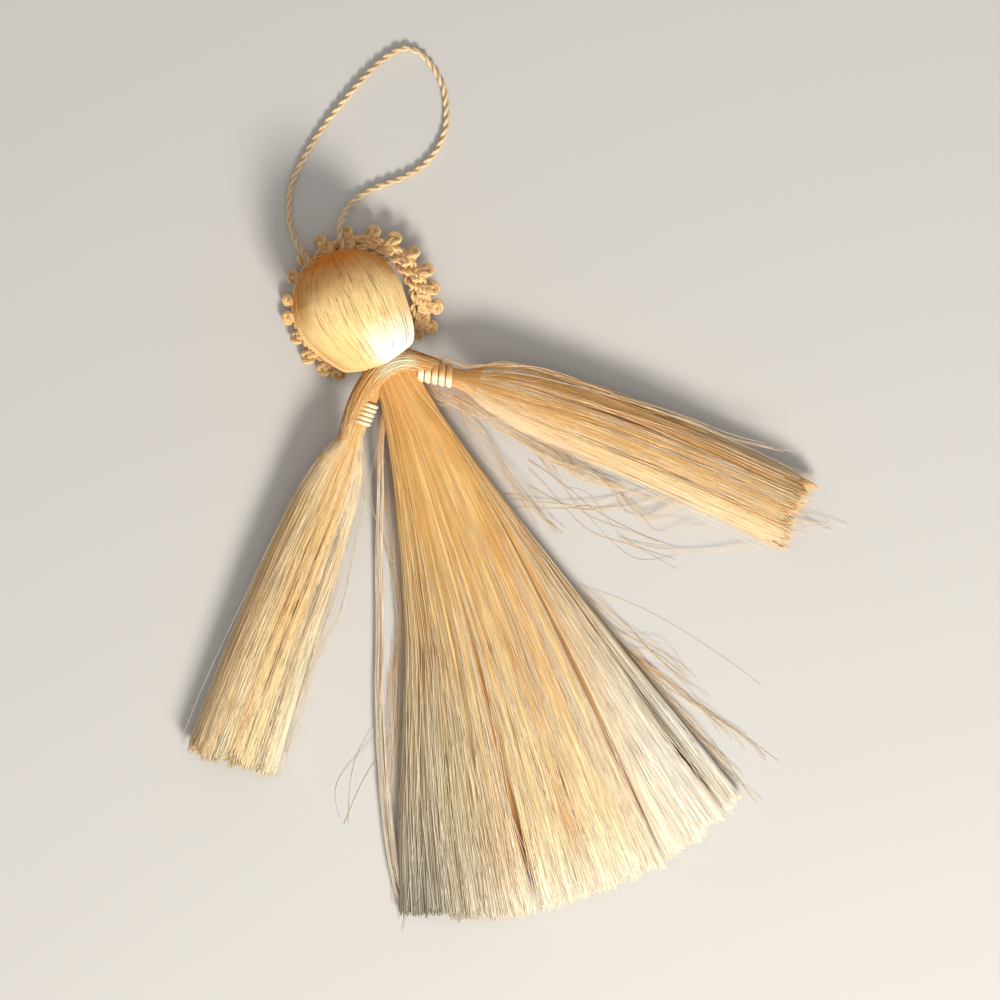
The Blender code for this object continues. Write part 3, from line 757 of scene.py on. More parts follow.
def skirtPieces():
    rng = np.random.default_rng(skirt["seed"])
    edges = lockEdges(rng)
    colours = {
        "tipFrom": 0.34, "root": (0.72, 0.31, 0.06), "body": (0.95, 0.65, 0.25), "tip": (1.0, 0.89, 0.60),
        "dark": (0.80, 0.41, 0.10), "pale": (0.97, 0.80, 0.44), "gloss": 0.6,
        # corners: a painted highlight at the lower right where the lamp falls, greyer floss at the lower
        # left, paler cut ends along the hem
        "corner": ((0.64, 0.84, 0.45, 0.84, (1.0, 1.0, 0.97)), (0.4, 0.1, 0.3, 0.95, (0.32, 0.30, 0.245)),
                   (0.14, 0.34, 0.86, 1.0, (1.0, 0.94, 0.78))),
        # painted shade down the partings, and a painted shadow in the open slit
        "tonesAndPaintedLight": [(0.5 + skirt["mapHalf"] * where, width, first, last, skirt[shade], 0.85)
                    for where, width, first, last, shade in (
                        (-0.31, 0.012, 0.45, 1.0, "grooveShade"), (0.45, 0.012, 0.3, 0.98, "grooveShade"),
                        (0.1, 0.008, 0.5, 0.85, "grooveShade"), (0.885, 0.02, 0.62, 1.0, "slitShadow"))],
    }
    material = flossMaterial("skirt floss", **colours)
    # the deeper floss is darkened with painted shade
    inside = flossMaterial("skirt floss beneath", deep=skirt["shade"], **colours)
    top, deep = skirt["top"], skirt["deep"]
    strays = int(top * skirt["looseShare"])
    over = [
        fanStrands(rng, top, edges, 1 - rng.uniform(0, skirt["outer"], (top, 1)) ** 1.3),
        fanStrands(rng, strays, edges, np.ones((strays, 1)), loose=1.0, radius=0.7),
    ]
    under = [fanStrands(rng, deep, edges, rng.uniform(0, skirt["inner"], (deep, 1)))]
    for name, bundles in (("skirt_floss", over), ("skirt_floss_beneath", under)):
        piece = strandPiece(name, bundles, material)
        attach(piece, "root")
        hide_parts("skirt")
    underLayer("skirt", "skirt_floss_inside", inside, 0.35, 2, fanOnMap, fanInside)


skirtPieces()
print("skirt is made")


# Stray lock: a thin bundle of pale floss beside the skirt's left edge
stray = {
    "count": 62, "radius": 0.05, "width": 1.05, "step": 2.2, "seed": 21, "turn": 1.6, "shorter": 0.035,
    "sides": ((0.0, (1.0, 0.96, 0.86), 0.95), (1.0, (0.98, 0.90, 0.76), 0.9)),
}
strayRoute = (  # across and down as shares of the skirt's length, height as a share of the neck's
    (-0.025, 0.043, 1.0), (-0.065, 0.109, 0.68), (-0.102, 0.202, 0.33), (-0.15, 0.318, 0.12),
    (-0.196, 0.443, 0.12), (-0.25, 0.582, 0.12), (-0.293, 0.722, 0.12), (-0.323, 0.847, 0.12),
    (-0.329, 0.929, 0.12),
)


def strayPiece():
    rng = np.random.default_rng(stray["seed"])
    scale = np.array([skirt["length"], -skirt["length"], neck["height"]])
    path = curveThrough(np.array(strayRoute) * scale, stray["step"])
    side, up = carriedFrame(path)
    share = np.linspace(0, 1, len(path))
    lines = []
    for _ in range(stray["count"]):
        out = stray["width"] * math.sqrt(rng.uniform()) * (0.55 + 0.6 * share)
        angle = rng.uniform(0, 2 * math.pi) + stray["turn"] * share + 0.5 * wander(rng, 1, share)[0]
        line = path + (out * np.cos(angle))[:, None] * side + (out * np.sin(angle))[:, None] * up
        cut = 1 - rng.exponential(stray["shorter"])
        lines.append(pointsAt(share * cut, share, line))
    lines = np.array(lines)
    aboveFloor(lines, stray["radius"])
    place = rng.uniform(0.05, 0.95, (stray["count"], 1))
    material = flossMaterial("stray floss", tipFrom=0.3, strength=0.5, sides=stray["sides"])
    piece = strandPiece("stray_lock", [bundle(lines, stray["radius"], place, share[None, :])], material)
    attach(piece, "root")
    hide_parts("skirt")


strayPiece()
print("stray lock is made")


# Arms: two tassels, each tied near its root
arm = {
    "rootRadius": 1.5, "tail": 0.6, "thickness": 9.0, "endThickness": 7.4,
    "lands": 0.42, "swells": 0.105, "thins": 0.4, "early": 3.9, "within": 3.0,
    "locks": 29, "lockDepth": 0.025, "clump": 0.08, "shell": 1750, "ends": 900, "endsFrom": 0.86,
    "rootSize": 0.06, "endSize": 0.105, "sizes": (0.75, 1.2), "outer": 0.24, "topShare": 0.7,
    "sway": 0.05, "wander": 0.05, "drift": 0.09, "ragged": 0.006, "lockRagged": 0.010, "shorter": 0.008,
    "steps": (0, 0.05, 0.1, 0.16, 0.24, 0.34, 0.46, 0.6, 0.74, 0.87, 1.0),
}
rightArm = {
    "name": "right_arm", "root": (4.85, -1.95), "bend": (26.8, -15.1), "end": (60.7, -52.2),
    "swell": 5.6, "flare": 0.0, "binding": (0.5, 7.2), "seed": 31, "twist": 0.35, "ragged": 1.9,
    "body": (0.95, 0.60, 0.24), "tip": (0.94, 0.78, 0.50), "dim": (1.0, 0.95, 0.86),
    # sides: a painted highlight, cream, on the lower side toward the lamp, and painted shade, orange-brown,
    # on the upper side
    "sides": ((0.0, (0.98, 0.90, 0.74), 0.85), (0.28, (0.96, 0.80, 0.54), 0.5),
              (0.5, (0.90, 0.56, 0.24), 0.3), (0.72, (0.86, 0.48, 0.17), 0.6),
              (0.9, (0.80, 0.42, 0.14), 0.5), (0.96, (0.90, 0.72, 0.54), 0.6)),
}
leftArm = {
    "name": "left_arm", "root": (-5.2, -2.7), "bend": (-31.5, -28.9), "end": (-55.1, -58.2),
    "swell": 5.2, "flare": 2.0, "binding": (2.3, 5.4), "seed": 37, "twist": -0.25, "ragged": 1.0,
    "body": (0.92, 0.60, 0.26), "tip": (0.96, 0.84, 0.60), "dim": (0.85, 0.90, 0.90),
    # sides: painted shade, orange-brown, on the left side, and a painted highlight, cream, on the right side
    # toward the lamp
    "sides": ((0.0, (0.82, 0.50, 0.22), 0.6), (0.2, (0.84, 0.50, 0.22), 0.6),
              (0.34, (0.96, 0.80, 0.54), 0.5), (0.5, (0.90, 0.56, 0.25), 0.4),
              (0.66, (0.94, 0.70, 0.40), 0.4), (0.9, (0.98, 0.90, 0.74), 0.7)),
}


def armLine(look):
    t = np.linspace(0, 1, 61)[:, None]
    start, bend, end = (np.array(look[key]) for key in ("root", "bend", "end"))
    line = start * (1 - t) ** 2 + bend * 2 * t * (1 - t) + end * t**2
    walked = walkedAlong(line)
    way = np.gradient(line, axis=0)
    way /= np.linalg.norm(way, axis=1)[:, None]
    before, after = line[0] - 4 * way[0], line[-1] + 6 * way[-1]
    line = np.concatenate([[before], line, [after]])
    way = np.concatenate([way[:1], way, way[-1:]])
    return line, way, np.concatenate([[-4], walked, [walked[-1] + 6]]), walked[-1]


def armPoint(look, share, angle, fill):
    line, way, walked, length = armLine(look)
    at = share * length
    x, y, wayX, wayY = (np.interp(at, walked, values) for values in (*line.T, *way.T))
    bound = (sum(look["binding"]) + arm["tail"]) / length
    held = np.clip(share, 0, None)
    loose = held - np.minimum(held, bound)
    half = arm["rootRadius"] + look["swell"] * (1 - np.exp(-loose / arm["swells"])) + look["flare"] * held**2
    free = ease(loose / (arm["lands"] - bound))
    thick = between(arm["thickness"], arm["endThickness"], ease((held - arm["thins"]) / (1 - arm["thins"])))
    top = between(neck["height"] + arm["rootRadius"], thick, free)
    bottom = (neck["height"] - arm["rootRadius"]) * (1 - free)
    middle = between(bottom, top, between(0.5, 0.42, free))
    rise = np.sin(angle)
    up = (top - middle) * rise
    down = (middle - bottom) * np.maximum(rise * between(1.0, 1.15, free), -1.0)
    z = middle + np.where(rise > 0, up, down) * fill
    side = half * np.cos(angle) * fill
    return np.stack([x - wayY * side, y + wayX * side, z], axis=-1)


def armStrands(rng, look, count, fill, first, steps):
    length = armLine(look)[3]
    bound = (sum(look["binding"]) + arm["tail"]) / length
    edges = lockStarts(rng, arm["locks"], 1.6) * math.pi
    above = rng.uniform(-0.5, math.pi + 0.5, (count, 1))
    onTop = rng.uniform(size=(count, 1)) < arm["topShare"]
    angle = np.where(onTop, above, rng.uniform(0, 2 * math.pi, (count, 1))) % (2 * math.pi)
    lock, middle, half, inLock = inLocks(edges, angle)
    lockSway = rng.normal(0, 1, (arm["locks"], 3))[lock]
    cut = rng.normal(0, arm["ragged"], (count, 1)) + arm["lockRagged"] * lockSway[:, 2:]
    cut = cut - rng.exponential(arm["shorter"], (count, 1))
    last = 1 + look["ragged"] * cut
    share = first + (last - first) * np.array(steps)[None, :]
    grown = ease((share - bound) / 0.4)
    turned = middle + half * inLock * (1 - arm["clump"] * grown) + arm["sway"] * lockSway[:, :1] * grown
    turned = turned + rng.normal(0, arm["drift"], (count, 1)) * (share - 0.5) * grown
    swaying = arm["wander"] * grown * wander(rng, count, np.array(steps))
    turned = turned + look["twist"] * (1 - share) + swaying
    inner = fill * (1 - arm["lockDepth"] * np.abs(inLock) ** 3 * grown)
    inner = inner * (1 - 0.012 * (lockSway[:, 1:2] > 0) * grown)
    lines = armPoint(look, share, turned, np.clip(inner, 0, 1.0))
    size = between(arm["rootSize"], arm["endSize"], np.clip(share, 0, 1) ** 0.7)
    size = size * rng.uniform(*arm["sizes"], (count, 1))
    aboveFloor(lines, size)
    place = 0.5 - 0.44 * np.cos(turned)
    return bundle(lines, size, 1 - place, np.clip(0.02 + 0.96 * share, 0, 1))


def armPiece(look):
    rng = np.random.default_rng(look["seed"])
    colours = {key: look[key] for key in ("sides", "body", "tip")}
    colours.update(tipFrom=0.6, strength=0.7)
    material = flossMaterial(look["name"] + " floss", deep=look["dim"], **colours)
    # the arm's deeper floss is darkened with painted shade
    deep = flossMaterial(look["name"] + " floss beneath", deep=skirt["shade"], **colours)
    start = -arm["early"] / armLine(look)[3]
    shell = 1 - rng.uniform(0, arm["outer"], (arm["shell"], 1)) ** 1.5
    ends = np.sqrt(rng.uniform(0, 1, (arm["ends"], 1)))
    bundles = [
        armStrands(rng, look, arm["shell"], shell, start, arm["steps"]),
        armStrands(rng, look, arm["ends"], ends, arm["endsFrom"], (0, 0.5, 1)),
    ]
    piece = strandPiece(look["name"] + "_floss", bundles, material)
    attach(piece, "root")
    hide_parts(look["name"])
    line, way, walked, length = armLine(look)

    def onMap(x, y, z):
        near = int(np.argmin(np.hypot(line[:, 0] - x, line[:, 1] - y)))
        aside = (x - line[near][0]) * -way[near][1] + (y - line[near][1]) * way[near][0]
        return min(max(0.5 + aside / 16, 0.03), 0.97), min(max(walked[near] / length, 0.02), 0.98)

    def inside(x, y, z):
        at = (x - look["root"][0]) * way[30][0] + (y - look["root"][1]) * way[30][1]
        back = arm["within"] * max(at / length, 0)
        return x - way[-1][0] * back, y - way[-1][1] * back, z

    underLayer(look["name"], look["name"] + "_inside", deep, 0.3, 3, onMap, inside)


for look in (rightArm, leftArm):
    armPiece(look)
print("arms are made")


# Shoulders: floss that runs from one arm over the front of the neck to the other
shoulder = {
    "count": 420, "width": 2.2, "thick": 0.8, "size": 0.085, "seed": 61, "step": 1.7,
    "spread": 0.55, "twist": 0.385, "wander": 0.17, "leaves": 0.09, "latest": 0.4,
    "route": ((-14.0, -10.5, 9.0), (-12.0, -8.0, 9.8), (-9.0, -4.4, 10.3), (-5.2, -1.0, 10.6),
              (-1.2, 0.8, 12.2), (2.6, 1.0, 12.4), (5.2, -0.6, 10.8), (8.4, -3.0, 9.4)),
    # painted shade along the upper edge, turned from the lamp
    "sides": ((0.0, (0.92, 0.52, 0.15), 0.7), (0.5, (0.92, 0.54, 0.19), 0.6), (1.0, (0.66, 0.28, 0.07), 0.8)),
    # a painted glint at the neck, painted shade on the bulge above it, and a golden tone on the left leg
    "tonesAndPaintedLight": ((0.35, 1.2, 0.54, 0.8, (1.0, 0.95, 0.68), 1.0),
                (1.0, 0.4, 0.62, 0.86, (0.58, 0.24, 0.05), 0.95),
                (0.5, 0.9, 0.0, 0.36, (0.96, 0.70, 0.36), 0.8)),
}


def shoulderPiece():
    rng = np.random.default_rng(shoulder["seed"])
    path = curveThrough(shoulder["route"], shoulder["step"])
    share = np.linspace(0, 1, len(path))
    way = np.gradient(path, axis=0)
    aside = np.stack([-way[:, 1], way[:, 0], 0 * way[:, 0]], axis=1)
    aside /= np.linalg.norm(aside, axis=1)[:, None]
    count = shoulder["count"]
    out = np.clip(rng.normal(0, shoulder["spread"], (count, 1)), -1, 1)
    turn = shoulder["twist"] * (share - 0.5)[None, :]
    narrow = 0.72 + 0.28 * np.sin(math.pi * share)[None, :]
    held = np.clip(out + turn + shoulder["wander"] * wander(rng, count, share), -1, 1)
    side = shoulder["width"] * narrow * held
    drop = shoulder["thick"] * (1 - np.sqrt(np.clip(1 - held**2, 0, 1))) * 2.2
    deep = rng.uniform(0, shoulder["thick"], (count, 1)) + 0.12 * wander(rng, count, share)
    lines = path[None] + side[..., None] * aside[None]
    lines[..., 2] -= drop + deep
    begin = np.minimum(rng.exponential(shoulder["leaves"], count), shoulder["latest"])
    for line, leave in zip(lines, begin):  # its threads leave the left arm at different places
        line[:] = pointsAt(between(leave, 1, share), share, line)
    size = shoulder["size"] * (0.7 + 0.3 * np.sin(math.pi * share)[None, :])
    size = size * rng.uniform(0.8, 1.2, (count, 1))
    material = flossMaterial("shoulder floss", tipFrom=0.9, strength=0.8, gloss=0.9, sides=shoulder["sides"],
                             tonesAndPaintedLight=shoulder["tonesAndPaintedLight"])
    threads = bundle(lines, size, 0.5 + 0.47 * held, 0.2 + 0.7 * share[None, :])
    piece = strandPiece("shoulder_floss", [threads], material)
    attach(piece, "root")
    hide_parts("neck_binding")


shoulderPiece()
print("shoulders are made")


# Bindings: thread wound round the neck and the shoulders, several threads to a turn
binding = {"bulge": 0.26, "around": 26, "inward": 0.8, "longer": 0.9, "neckUp": 0.9, "neckLength": 3.0}
# painted light on the windings: shade on the side turned from the lamp, cream on the side toward it, gold
# between; shade and cream also colour the threads' streaks
shade, gold, cream = (0.74, 0.36, 0.11), (0.92, 0.66, 0.34), (0.98, 0.88, 0.64)
windings = {
    "neck": {
        "inner": 3.7, "turns": 4, "width": 0.74, "threads": 4, "radius": 0.11, "lean": 0.25,
        "colours": ((0.1, shade), (0.45, gold), (0.7, cream), (1.0, gold)),
    },
    "right_arm": {
        "inner": 1.8, "turns": 5, "width": 1.36, "threads": 6, "radius": 0.13, "lean": 0.0,
        "colours": ((0.34, cream), (0.46, gold), (0.58, shade)),
    },
    "left_arm": {
        "inner": 1.8, "turns": 5, "width": 0.92, "threads": 4, "radius": 0.13, "lean": 0.0,
        "colours": ((0.25, shade), (0.5, gold), (0.8, cream)),
    },
}


def wound(key, middle, direction, length):
    look = windings[key]
    turns, threads, radius, width = (look[name] for name in ("turns", "threads", "radius", "width"))
    direction = np.array([*direction, 0.0])
    side = np.array([-direction[1], direction[0], 0.0])
    up = np.array([0.0, 0.0, 1.0])
    points = int(turns * binding["around"])
    angle = np.linspace(0, 2 * math.pi * turns, points + 1)
    share = angle / angle[-1]
    angle = angle - math.pi / 2
    lines = []
    for thread in range(threads):
        off = (thread + 0.5) / threads * 2 - 1
        out = look["inner"] + radius + binding["bulge"] * (1 - off * off)
        walked = (share - 0.5) * (length - width) + off * (width / 2 - radius)
        walked = walked + look["lean"] * np.cos(angle)
        ring = out * (np.cos(angle)[:, None] * side + np.sin(angle)[:, None] * up)
        lines.append(np.array(middle) + ring + walked[:, None] * direction)
    # across marks the side of each turn, where its painted light and shade go
    across = 0.5 + 0.46 * np.cos(angle)[None, :] + 0 * np.arange(threads)[:, None]
    material = threadMaterial(key + " thread", shade, cream, rough=0.26, fine=3, long=90,
                              sides=look["colours"])
    turned = bundle(np.array(lines), radius, across, share[None, :])
    piece = strandPiece(key + "_thread", [turned], material, sides=6, mapWidth=0.05)
    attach(piece, "root")
    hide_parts(key + "_binding")


def bindingPieces():
    wound("neck", (0, binding["neckUp"], neck["height"]), (0, 1), binding["neckLength"])
    for look in (rightArm, leftArm):
        start, length = look["binding"]
        line, way, walked, _ = armLine(look)
        at = start + length / 2 - binding["inward"]
        if look is rightArm:  # its threads start nearer the neck
            at, length = at - binding["longer"] / 2, length + binding["longer"]
        x, y, wayX, wayY = (float(np.interp(at, walked, values)) for values in (*line.T, *way.T))
        wound(look["name"], (x, y, neck["height"]), (wayX, wayY), length)


bindingPieces()
print("bindings are made")


# Head: floss laid over a ball from the crown to the neck
head = {
    "radius": 10.45, "centre": (-3.05, 14.4), "rimRadius": 6.5, "rimShift": -1.6, "rimY": 2.7,
    "count": 1400, "size": 0.078, "seed": 41, "locks": 46, "lockDepth": 0.02, "depth": 0.08,
    "wraps": (2.75, 2.87, 2.98, 3.08), "wrapRadius": 0.17,  # the loose threads, in radians round the ball
    "mapTop": 25.0, "mapLength": 24.0, "mapWidth": 22.0, "mapMiddle": 0.62,
    # a painted highlight, white, on the lower right where the lamp falls, and golden tan on the lower left
    "corner": ((0.36, 0.56, 0.6, 0.78, (1.0, 1.0, 0.97)), (0.5, 0.3, 0.5, 0.7, (0.97, 0.60, 0.26))),
    # painted shade, dark orange, down both edges of the upper half
    "tonesAndPaintedLight": ((0.04, 0.16, 0.05, 0.56, (0.84, 0.34, 0.05), 0.85),
                (0.96, 0.14, 0.05, 0.5, (0.84, 0.34, 0.05), 0.85)),
}


def headProfile():  # y, x, z and radius of the rings, from the crown to the neck
    rows = []
    for degrees in (88, 84, 78, 70, 60, 48, 36, 24, 12):
        angle = math.radians(degrees)
        x, y = head["centre"]
        radius = head["radius"] * math.cos(angle)
        rows.append((y + head["radius"] * math.sin(angle), x, head["radius"], radius))
    for share in (1.0, 0.82, 0.64, 0.46, 0.3, 0.16, 0.05, 0.0):
        swell = math.sin(math.pi / 2 * share**0.8)
        radius = between(head["rimRadius"], head["radius"], swell)
        x = between(head["rimShift"], head["centre"][0], ease(share * 1.2))
        z = max(between(neck["height"], head["radius"], ease(share)), radius)
        rows.append((between(head["rimY"], head["centre"][1], share), float(x), float(z), radius))
    rows.append((1.6, -0.6, neck["height"] + 0.4, neck["radius"] + 0.7))
    rows.append((0.9, 0.0, neck["height"], neck["radius"]))
    return np.array(rows)


def headStrands(rng, count, lift, size):
    profile = headProfile()
    share = np.linspace(0, 1, len(profile))
    angle = np.sort(rng.uniform(0, 2 * math.pi, count))[:, None]
    _, _, _, inLock = inLocks(lockStarts(rng, head["locks"]) * math.pi, angle)
    turned = angle + 0.02 * wander(rng, count, share)
    middleY, middleX, middleZ, radius = (profile[None, :, column] for column in range(4))
    out = radius + lift - head["lockDepth"] * np.abs(inLock) ** 3 * (radius / head["radius"])
    out = np.maximum(out, 0.05)
    x, z = middleX + out * np.cos(turned), middleZ + out * np.sin(turned)
    lines = np.stack([x, np.broadcast_to(middleY, x.shape), z], axis=-1)
    aboveFloor(lines, size)
    thick = size * np.clip(radius / head["radius"], 0.3, 1) ** 0.6 * rng.uniform(0.8, 1.2, (count, 1))
    place = 0.5 - 0.46 * np.cos(turned)
    return bundle(lines, thick, 1 - place, 0.02 + 0.96 * share[None, :])


def looseWraps():  # threads that lie beside each other, a little off the ball's lower left
    profile = headProfile()[6:-1]
    lines = []
    for k, angle in enumerate(head["wraps"]):
        out = profile[:, 3] + 0.15 + 0.12 * k * np.sin(np.linspace(0, math.pi, len(profile)))
        turned = angle + 0.06 * np.linspace(-1, 1, len(profile)) * (k - 1.5)
        lines.append(np.stack([profile[:, 1] + out * np.cos(turned), profile[:, 0],
                               profile[:, 2] + out * np.sin(turned)], axis=1))
    along = np.linspace(0.35, 0.95, len(profile))[None, :]
    return bundle(np.array(lines), head["wrapRadius"], np.full((len(lines), 1), 0.05), along)


def headOnMap(x, y, z):
    across, along = head["mapMiddle"] + x / head["mapWidth"], (head["mapTop"] - y) / head["mapLength"]
    return min(max(across, 0.02), 0.98), min(max(along, 0.02), 0.98)


def headPieces():
    rng = np.random.default_rng(head["seed"])
    # the dark orange crown, kept for the first quarter, is painted shade on the top turned from the lamp
    material = flossMaterial("head floss", tipFrom=0.66, root=(0.86, 0.26, 0.015), body=(1.0, 0.74, 0.36),
                             hold=0.24, strength=0.22, gloss=0.2, corner=head["corner"],
                             tonesAndPaintedLight=head["tonesAndPaintedLight"])
    lift = -rng.uniform(0, head["depth"], (head["count"], 1)) - head["size"]
    bundles = [headStrands(rng, head["count"], lift, head["size"]), looseWraps()]
    piece = strandPiece("head_floss", bundles, material)
    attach(piece, "root")
    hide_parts("head")
    underLayer("head", "head_inside", material, 0.14, 4, headOnMap)


headPieces()
print("head is made")


# Loose hairs: x and y of each, with the height it leaves from and the height it ends at
hairRoutes = (
    (((-9.7, -8.7), (-12.0, -15.9), (-13.1, -19.8), (-16.2, -24.7), (-19.8, -30.9), (-25.4, -38.7),
      (-31.7, -44.4), (-39.4, -51.8)), 8.5, 5.0, 4, 0.35),
    (((-36.9, -50.8), (-39.6, -54.8), (-42.0, -56.9), (-45.0, -60.2)), 4.0, 0.2, 3, 0.5),
    (((7.4, -0.2), (9.2, -1.0), (13.1, -4.3), (20.0, -6.7), (26.5, -10.0), (34.3, -16.8), (41.5, -22.8),
      (48.2, -28.7), (55.8, -35.5), (65.3, -42.0)), 9.5, 5.5, 7, 0.3),
    (((24.0, -25.9), (30.2, -30.9), (33.4, -33.4), (39.5, -38.8), (44.6, -43.4), (49.1, -47.5),
      (52.3, -51.5), (54.5, -56.4)), 3.0, 2.0, 9, 0.35),
    (((27.6, -32.6), (32.4, -36.0), (36.6, -39.3), (40.8, -42.5), (45.9, -46.3)), 1.5, 1.0, 4, 0.5),
    (((29.4, -33.3), (31.5, -38.3), (32.8, -41.9), (35.7, -45.1), (40.1, -47.7), (43.3, -48.9),
      (45.6, -48.1), (47.1, -47.4)), 1.0, 1.0, 2, 0.6),
    (((25.8, -42.5), (28.6, -46.0), (35.2, -49.9), (43.1, -53.7), (49.5, -55.3),
      (54.4, -56.5)), 0.4, 1.0, 2, 0.6),
    (((60.0, -54.2), (66.0, -57.1)), 2.0, 0.3, 3, 0.9),
    (((60.4, -54.0), (66.0, -56.6), (69.6, -59.0)), 2.5, 0.2, 2, 0.6),
    (((6.5, -8.0), (10.6, -10.9), (14.0, -15.5), (16.6, -19.4), (20.8, -24.7), (24.3, -29.1),
      (28.3, -32.2)), 6.0, 0.4, 9, 0.9),
    (((23.3, -65.9), (30.2, -78.8), (36.7, -88.4), (40.9, -96.1)), 0.5, 0.3, 5, 0.4),
    (((20.4, -64.0), (28.0, -73.0), (33.0, -84.0), (36.0, -92.0)), 0.5, 0.3, 6, 0.9),
    (((15.3, -48.6), (27.5, -59.4), (38.6, -72.8), (48.7, -88.9)), 0.5, 0.2, 1, 0.2),
    (((-2.6, -5.0), (-8.3, -13.7), (-11.6, -17.9), (-12.6, -21.6), (-12.9, -25.6)), 8.0, 2.5, 2, 0.6),
    (((3.5, -3.0), (7.0, -7.5), (11.0, -11.0), (18.0, -17.0), (24.0, -26.0)), 6.0, 0.3, 16, 1.3),
    (((6.5, -4.5), (12.0, -11.5), (17.0, -18.0), (22.0, -26.0), (26.5, -31.0),
      (33.0, -37.0)), 6.0, 0.4, 26, 1.1),
    (((8.0, -9.0), (11.8, -20.0), (14.5, -30.0), (18.5, -42.0)), 4.0, 0.3, 12, 1.0),
    (((16.5, -22.0), (22.0, -30.0), (25.0, -38.5), (31.0, -47.0), (38.0, -52.0)), 0.3, 0.3, 5, 1.6),
    (((13.0, -30.0), (21.0, -37.0), (33.0, -40.0), (44.0, -39.0)), 0.3, 1.0, 4, 1.8),
    (((31.0, -37.0), (34.0, -41.5), (38.0, -43.5), (41.5, -42.0), (42.5, -39.0)), 0.3, 2.0, 5, 0.9),
    (((20.5, -61.0), (24.5, -72.0), (28.5, -83.0), (32.5, -94.0), (35.5, -101.0)), 1.0, 0.4, 14, 0.7),
    (((18.0, -52.0), (23.0, -62.0), (29.0, -70.0), (33.0, -80.0)), 1.0, 0.3, 8, 1.2),
    (((-7.0, -14.0), (-11.5, -27.0), (-15.0, -41.0), (-20.0, -56.0), (-26.0, -72.0)), 2.0, 0.3, 10, 0.9),
    (((-17.0, -46.0), (-23.0, -60.0), (-29.0, -76.0), (-34.0, -92.0), (-37.0, -100.0)), 0.8, 0.3, 12, 0.9),
    (((-26.0, -62.0), (-33.0, -68.0), (-41.0, -78.0)), 0.3, 0.3, 3, 1.5),
    (((-42.0, -44.0), (-47.0, -50.0), (-54.0, -54.0), (-58.5, -55.0)), 3.0, 0.3, 4, 0.9),
    (((-27.0, -20.0), (-34.0, -28.0), (-41.0, -36.0), (-47.0, -45.0)), 4.0, 0.4, 8, 0.7),
    (((-19.0, -24.0), (-26.0, -34.0), (-33.0, -44.0), (-41.0, -54.0)), 3.0, 0.4, 12, 0.7),
)
hair = {
    "radius": 0.05, "step": 1.9, "seed": 51, "crossing": 170, "proud": 0.3, "leaves": (0.14, 0.6),
    "rises": 0.3, "lowest": 0.12, "loose": 1.9, "paleAt": 0.08,
    "sides": ((0.1, (1.0, 0.93, 0.78), 0.9), (0.4, (0.90, 0.74, 0.50), 0.9), (1.0, (0.78, 0.56, 0.32), 0.9)),
    "overArm": {"fill": 1.02, "from": 0.15, "aside": 0.9, "thin": 0.42},
}


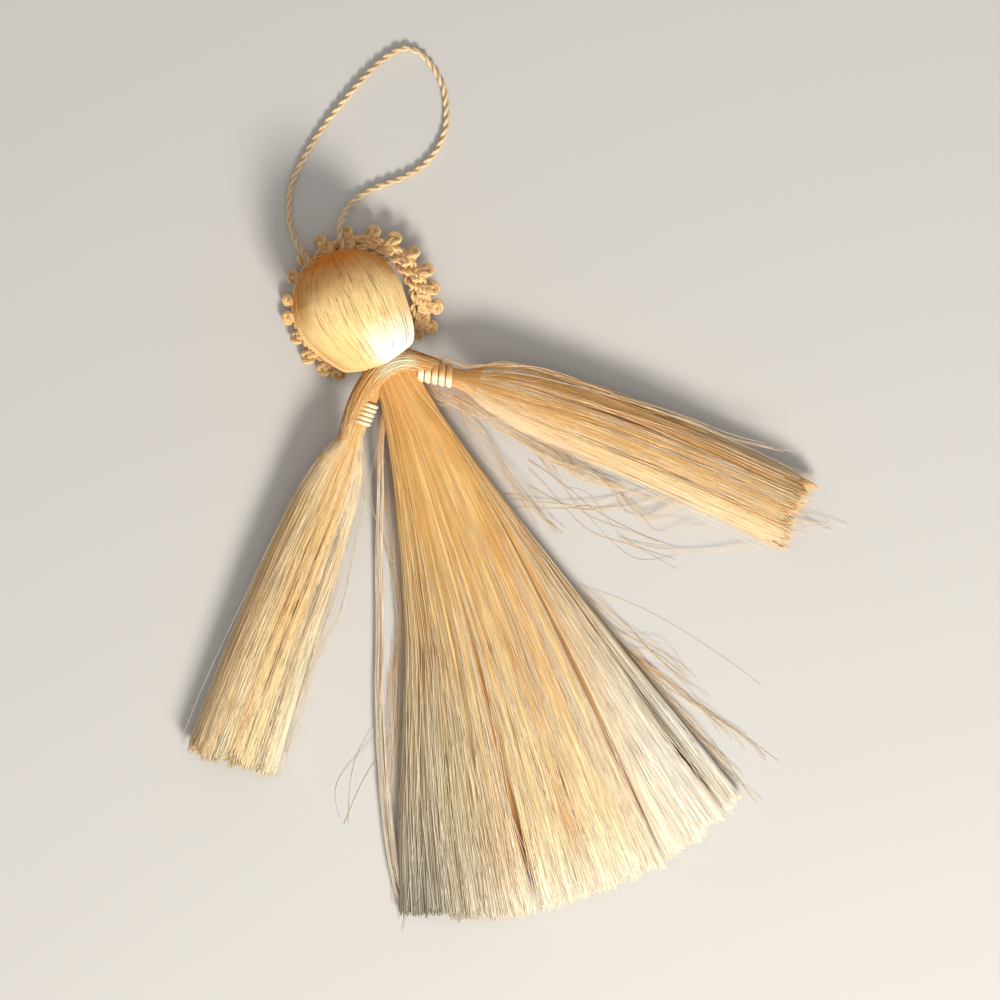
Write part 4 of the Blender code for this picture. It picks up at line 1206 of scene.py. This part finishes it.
def hairPiece():
    rng = np.random.default_rng(hair["seed"])
    bundles = []
    for route, high, low, count, spread in hairRoutes:
        heights = np.linspace(high, low, len(route))
        for _ in range(count):
            places = [(x + rng.normal(0, spread), y + rng.normal(0, spread),
                       max(z + rng.normal(0, hair["rises"]), hair["lowest"]))
                      for (x, y), z in zip(route, heights)]
            line = curveThrough(places, hair["step"])
            line = line[int(len(line) * rng.uniform(0, 0.15)):int(len(line) * rng.uniform(0.75, 1.0)) + 1]
            if len(line) < 3:
                continue
            line[:, 2] = np.maximum(line[:, 2], hair["radius"] + 0.03)
            share = np.linspace(0, 1, len(line))
            radius = hair["radius"] * rng.uniform(0.7, 1.3)
            bundles.append(bundle(line[None], radius, rng.uniform(0.5, 0.95), share[None, :]))
    edges = lockEdges(np.random.default_rng(skirt["seed"]))
    crossing, overArm = hair["crossing"], hair["overArm"]
    lift = np.ones((crossing, 1))
    lines, thick, _, along = fanStrands(rng, crossing, edges, lift, loose=hair["loose"], radius=0.5)
    share = np.array(skirt["steps"])
    for line, leave in zip(lines, rng.uniform(*hair["leaves"], crossing)):  # each leaves the skirt on its way
        line[:] = pointsAt(between(leave, 1, share), share, line)
    pale = np.full(thick.shape, hair["paleAt"])
    bundles.append((lines + np.array([0, 0, hair["proud"]]), thick, pale, along))
    count, grown = crossing // 2, ease(np.array(arm["steps"]))[None, :, None]
    for look in (rightArm, leftArm):
        fill = np.full((count, 1), overArm["fill"])
        lines, thick, _, along = armStrands(rng, look, count, fill, overArm["from"], arm["steps"])
        lines[..., :2] += rng.normal(0, overArm["aside"], (count, 1, 2)) * grown
        bundles.append((lines, thick * overArm["thin"], np.full(thick.shape, hair["paleAt"]), along))
    material = flossMaterial("loose hairs", tipFrom=0.2, strength=0.3, sides=hair["sides"])
    piece = strandPiece("loose_hairs", bundles, material)
    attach(piece, "root")


hairPiece()
print("loose hairs are made")


# Floor and light
studio = {
    "floor": (0.60, 0.59, 0.575), "floorRough": 0.75, "size": 3.0,
    "world": (1.0, 0.97, 0.93), "worldStrength": 0.36,
    "keyColour": (1.0, 0.95, 0.87), "keyPower": 7.6, "keyHeight": 38.0, "keySize": 0.22, "keyAway": 0.8,
    "keyTurn": 22.0,  # degrees to the right of the photograph's lower edge
    "fillColour": (1, 1, 1), "fillPower": 2.2, "fillSize": 1.2, "fillAway": 1.1,
}


def addLight(name, way, target):
    data = bpy.data.lights.new(name, "AREA")
    data.energy, data.color, data.size = (studio[name + part] for part in ("Power", "Colour", "Size"))
    place = target + way * studio[name + "Away"]
    lamp = placed(name, data)
    lamp.location = place
    lamp.rotation_euler = (target - place).to_track_quat("-Z", "Y").to_euler()


def addStudio():
    bpy.ops.mesh.primitive_plane_add(size=studio["size"])
    floor = bpy.context.object
    floor.name = "floor"
    material, shader = newMaterial("pale floor", studio["floorRough"], 0.0)
    shader.inputs["Base Color"].default_value = (*studio["floor"], 1)
    floor.data.materials.append(material)
    world = bpy.data.worlds.new("studio")
    world.use_nodes = True
    background = world.node_tree.nodes["Background"]
    background.inputs["Color"].default_value = (*studio["world"], 1)
    background.inputs["Strength"].default_value = studio["worldStrength"]
    bpy.context.scene.world = world
    target = Vector(inFrame((*view["aim"], 0)))
    turn = math.radians(-90 - view["roll"] + studio["keyTurn"])
    high = math.radians(studio["keyHeight"])
    way = Vector((math.cos(turn) * math.cos(high), math.sin(turn) * math.cos(high), math.sin(high)))
    addLight("key", way, target)
    addLight("fill", Vector((0, 0, 1)), target)
    bpy.context.scene.view_settings.view_transform = "Standard"


addStudio()
print("floor and light are set")
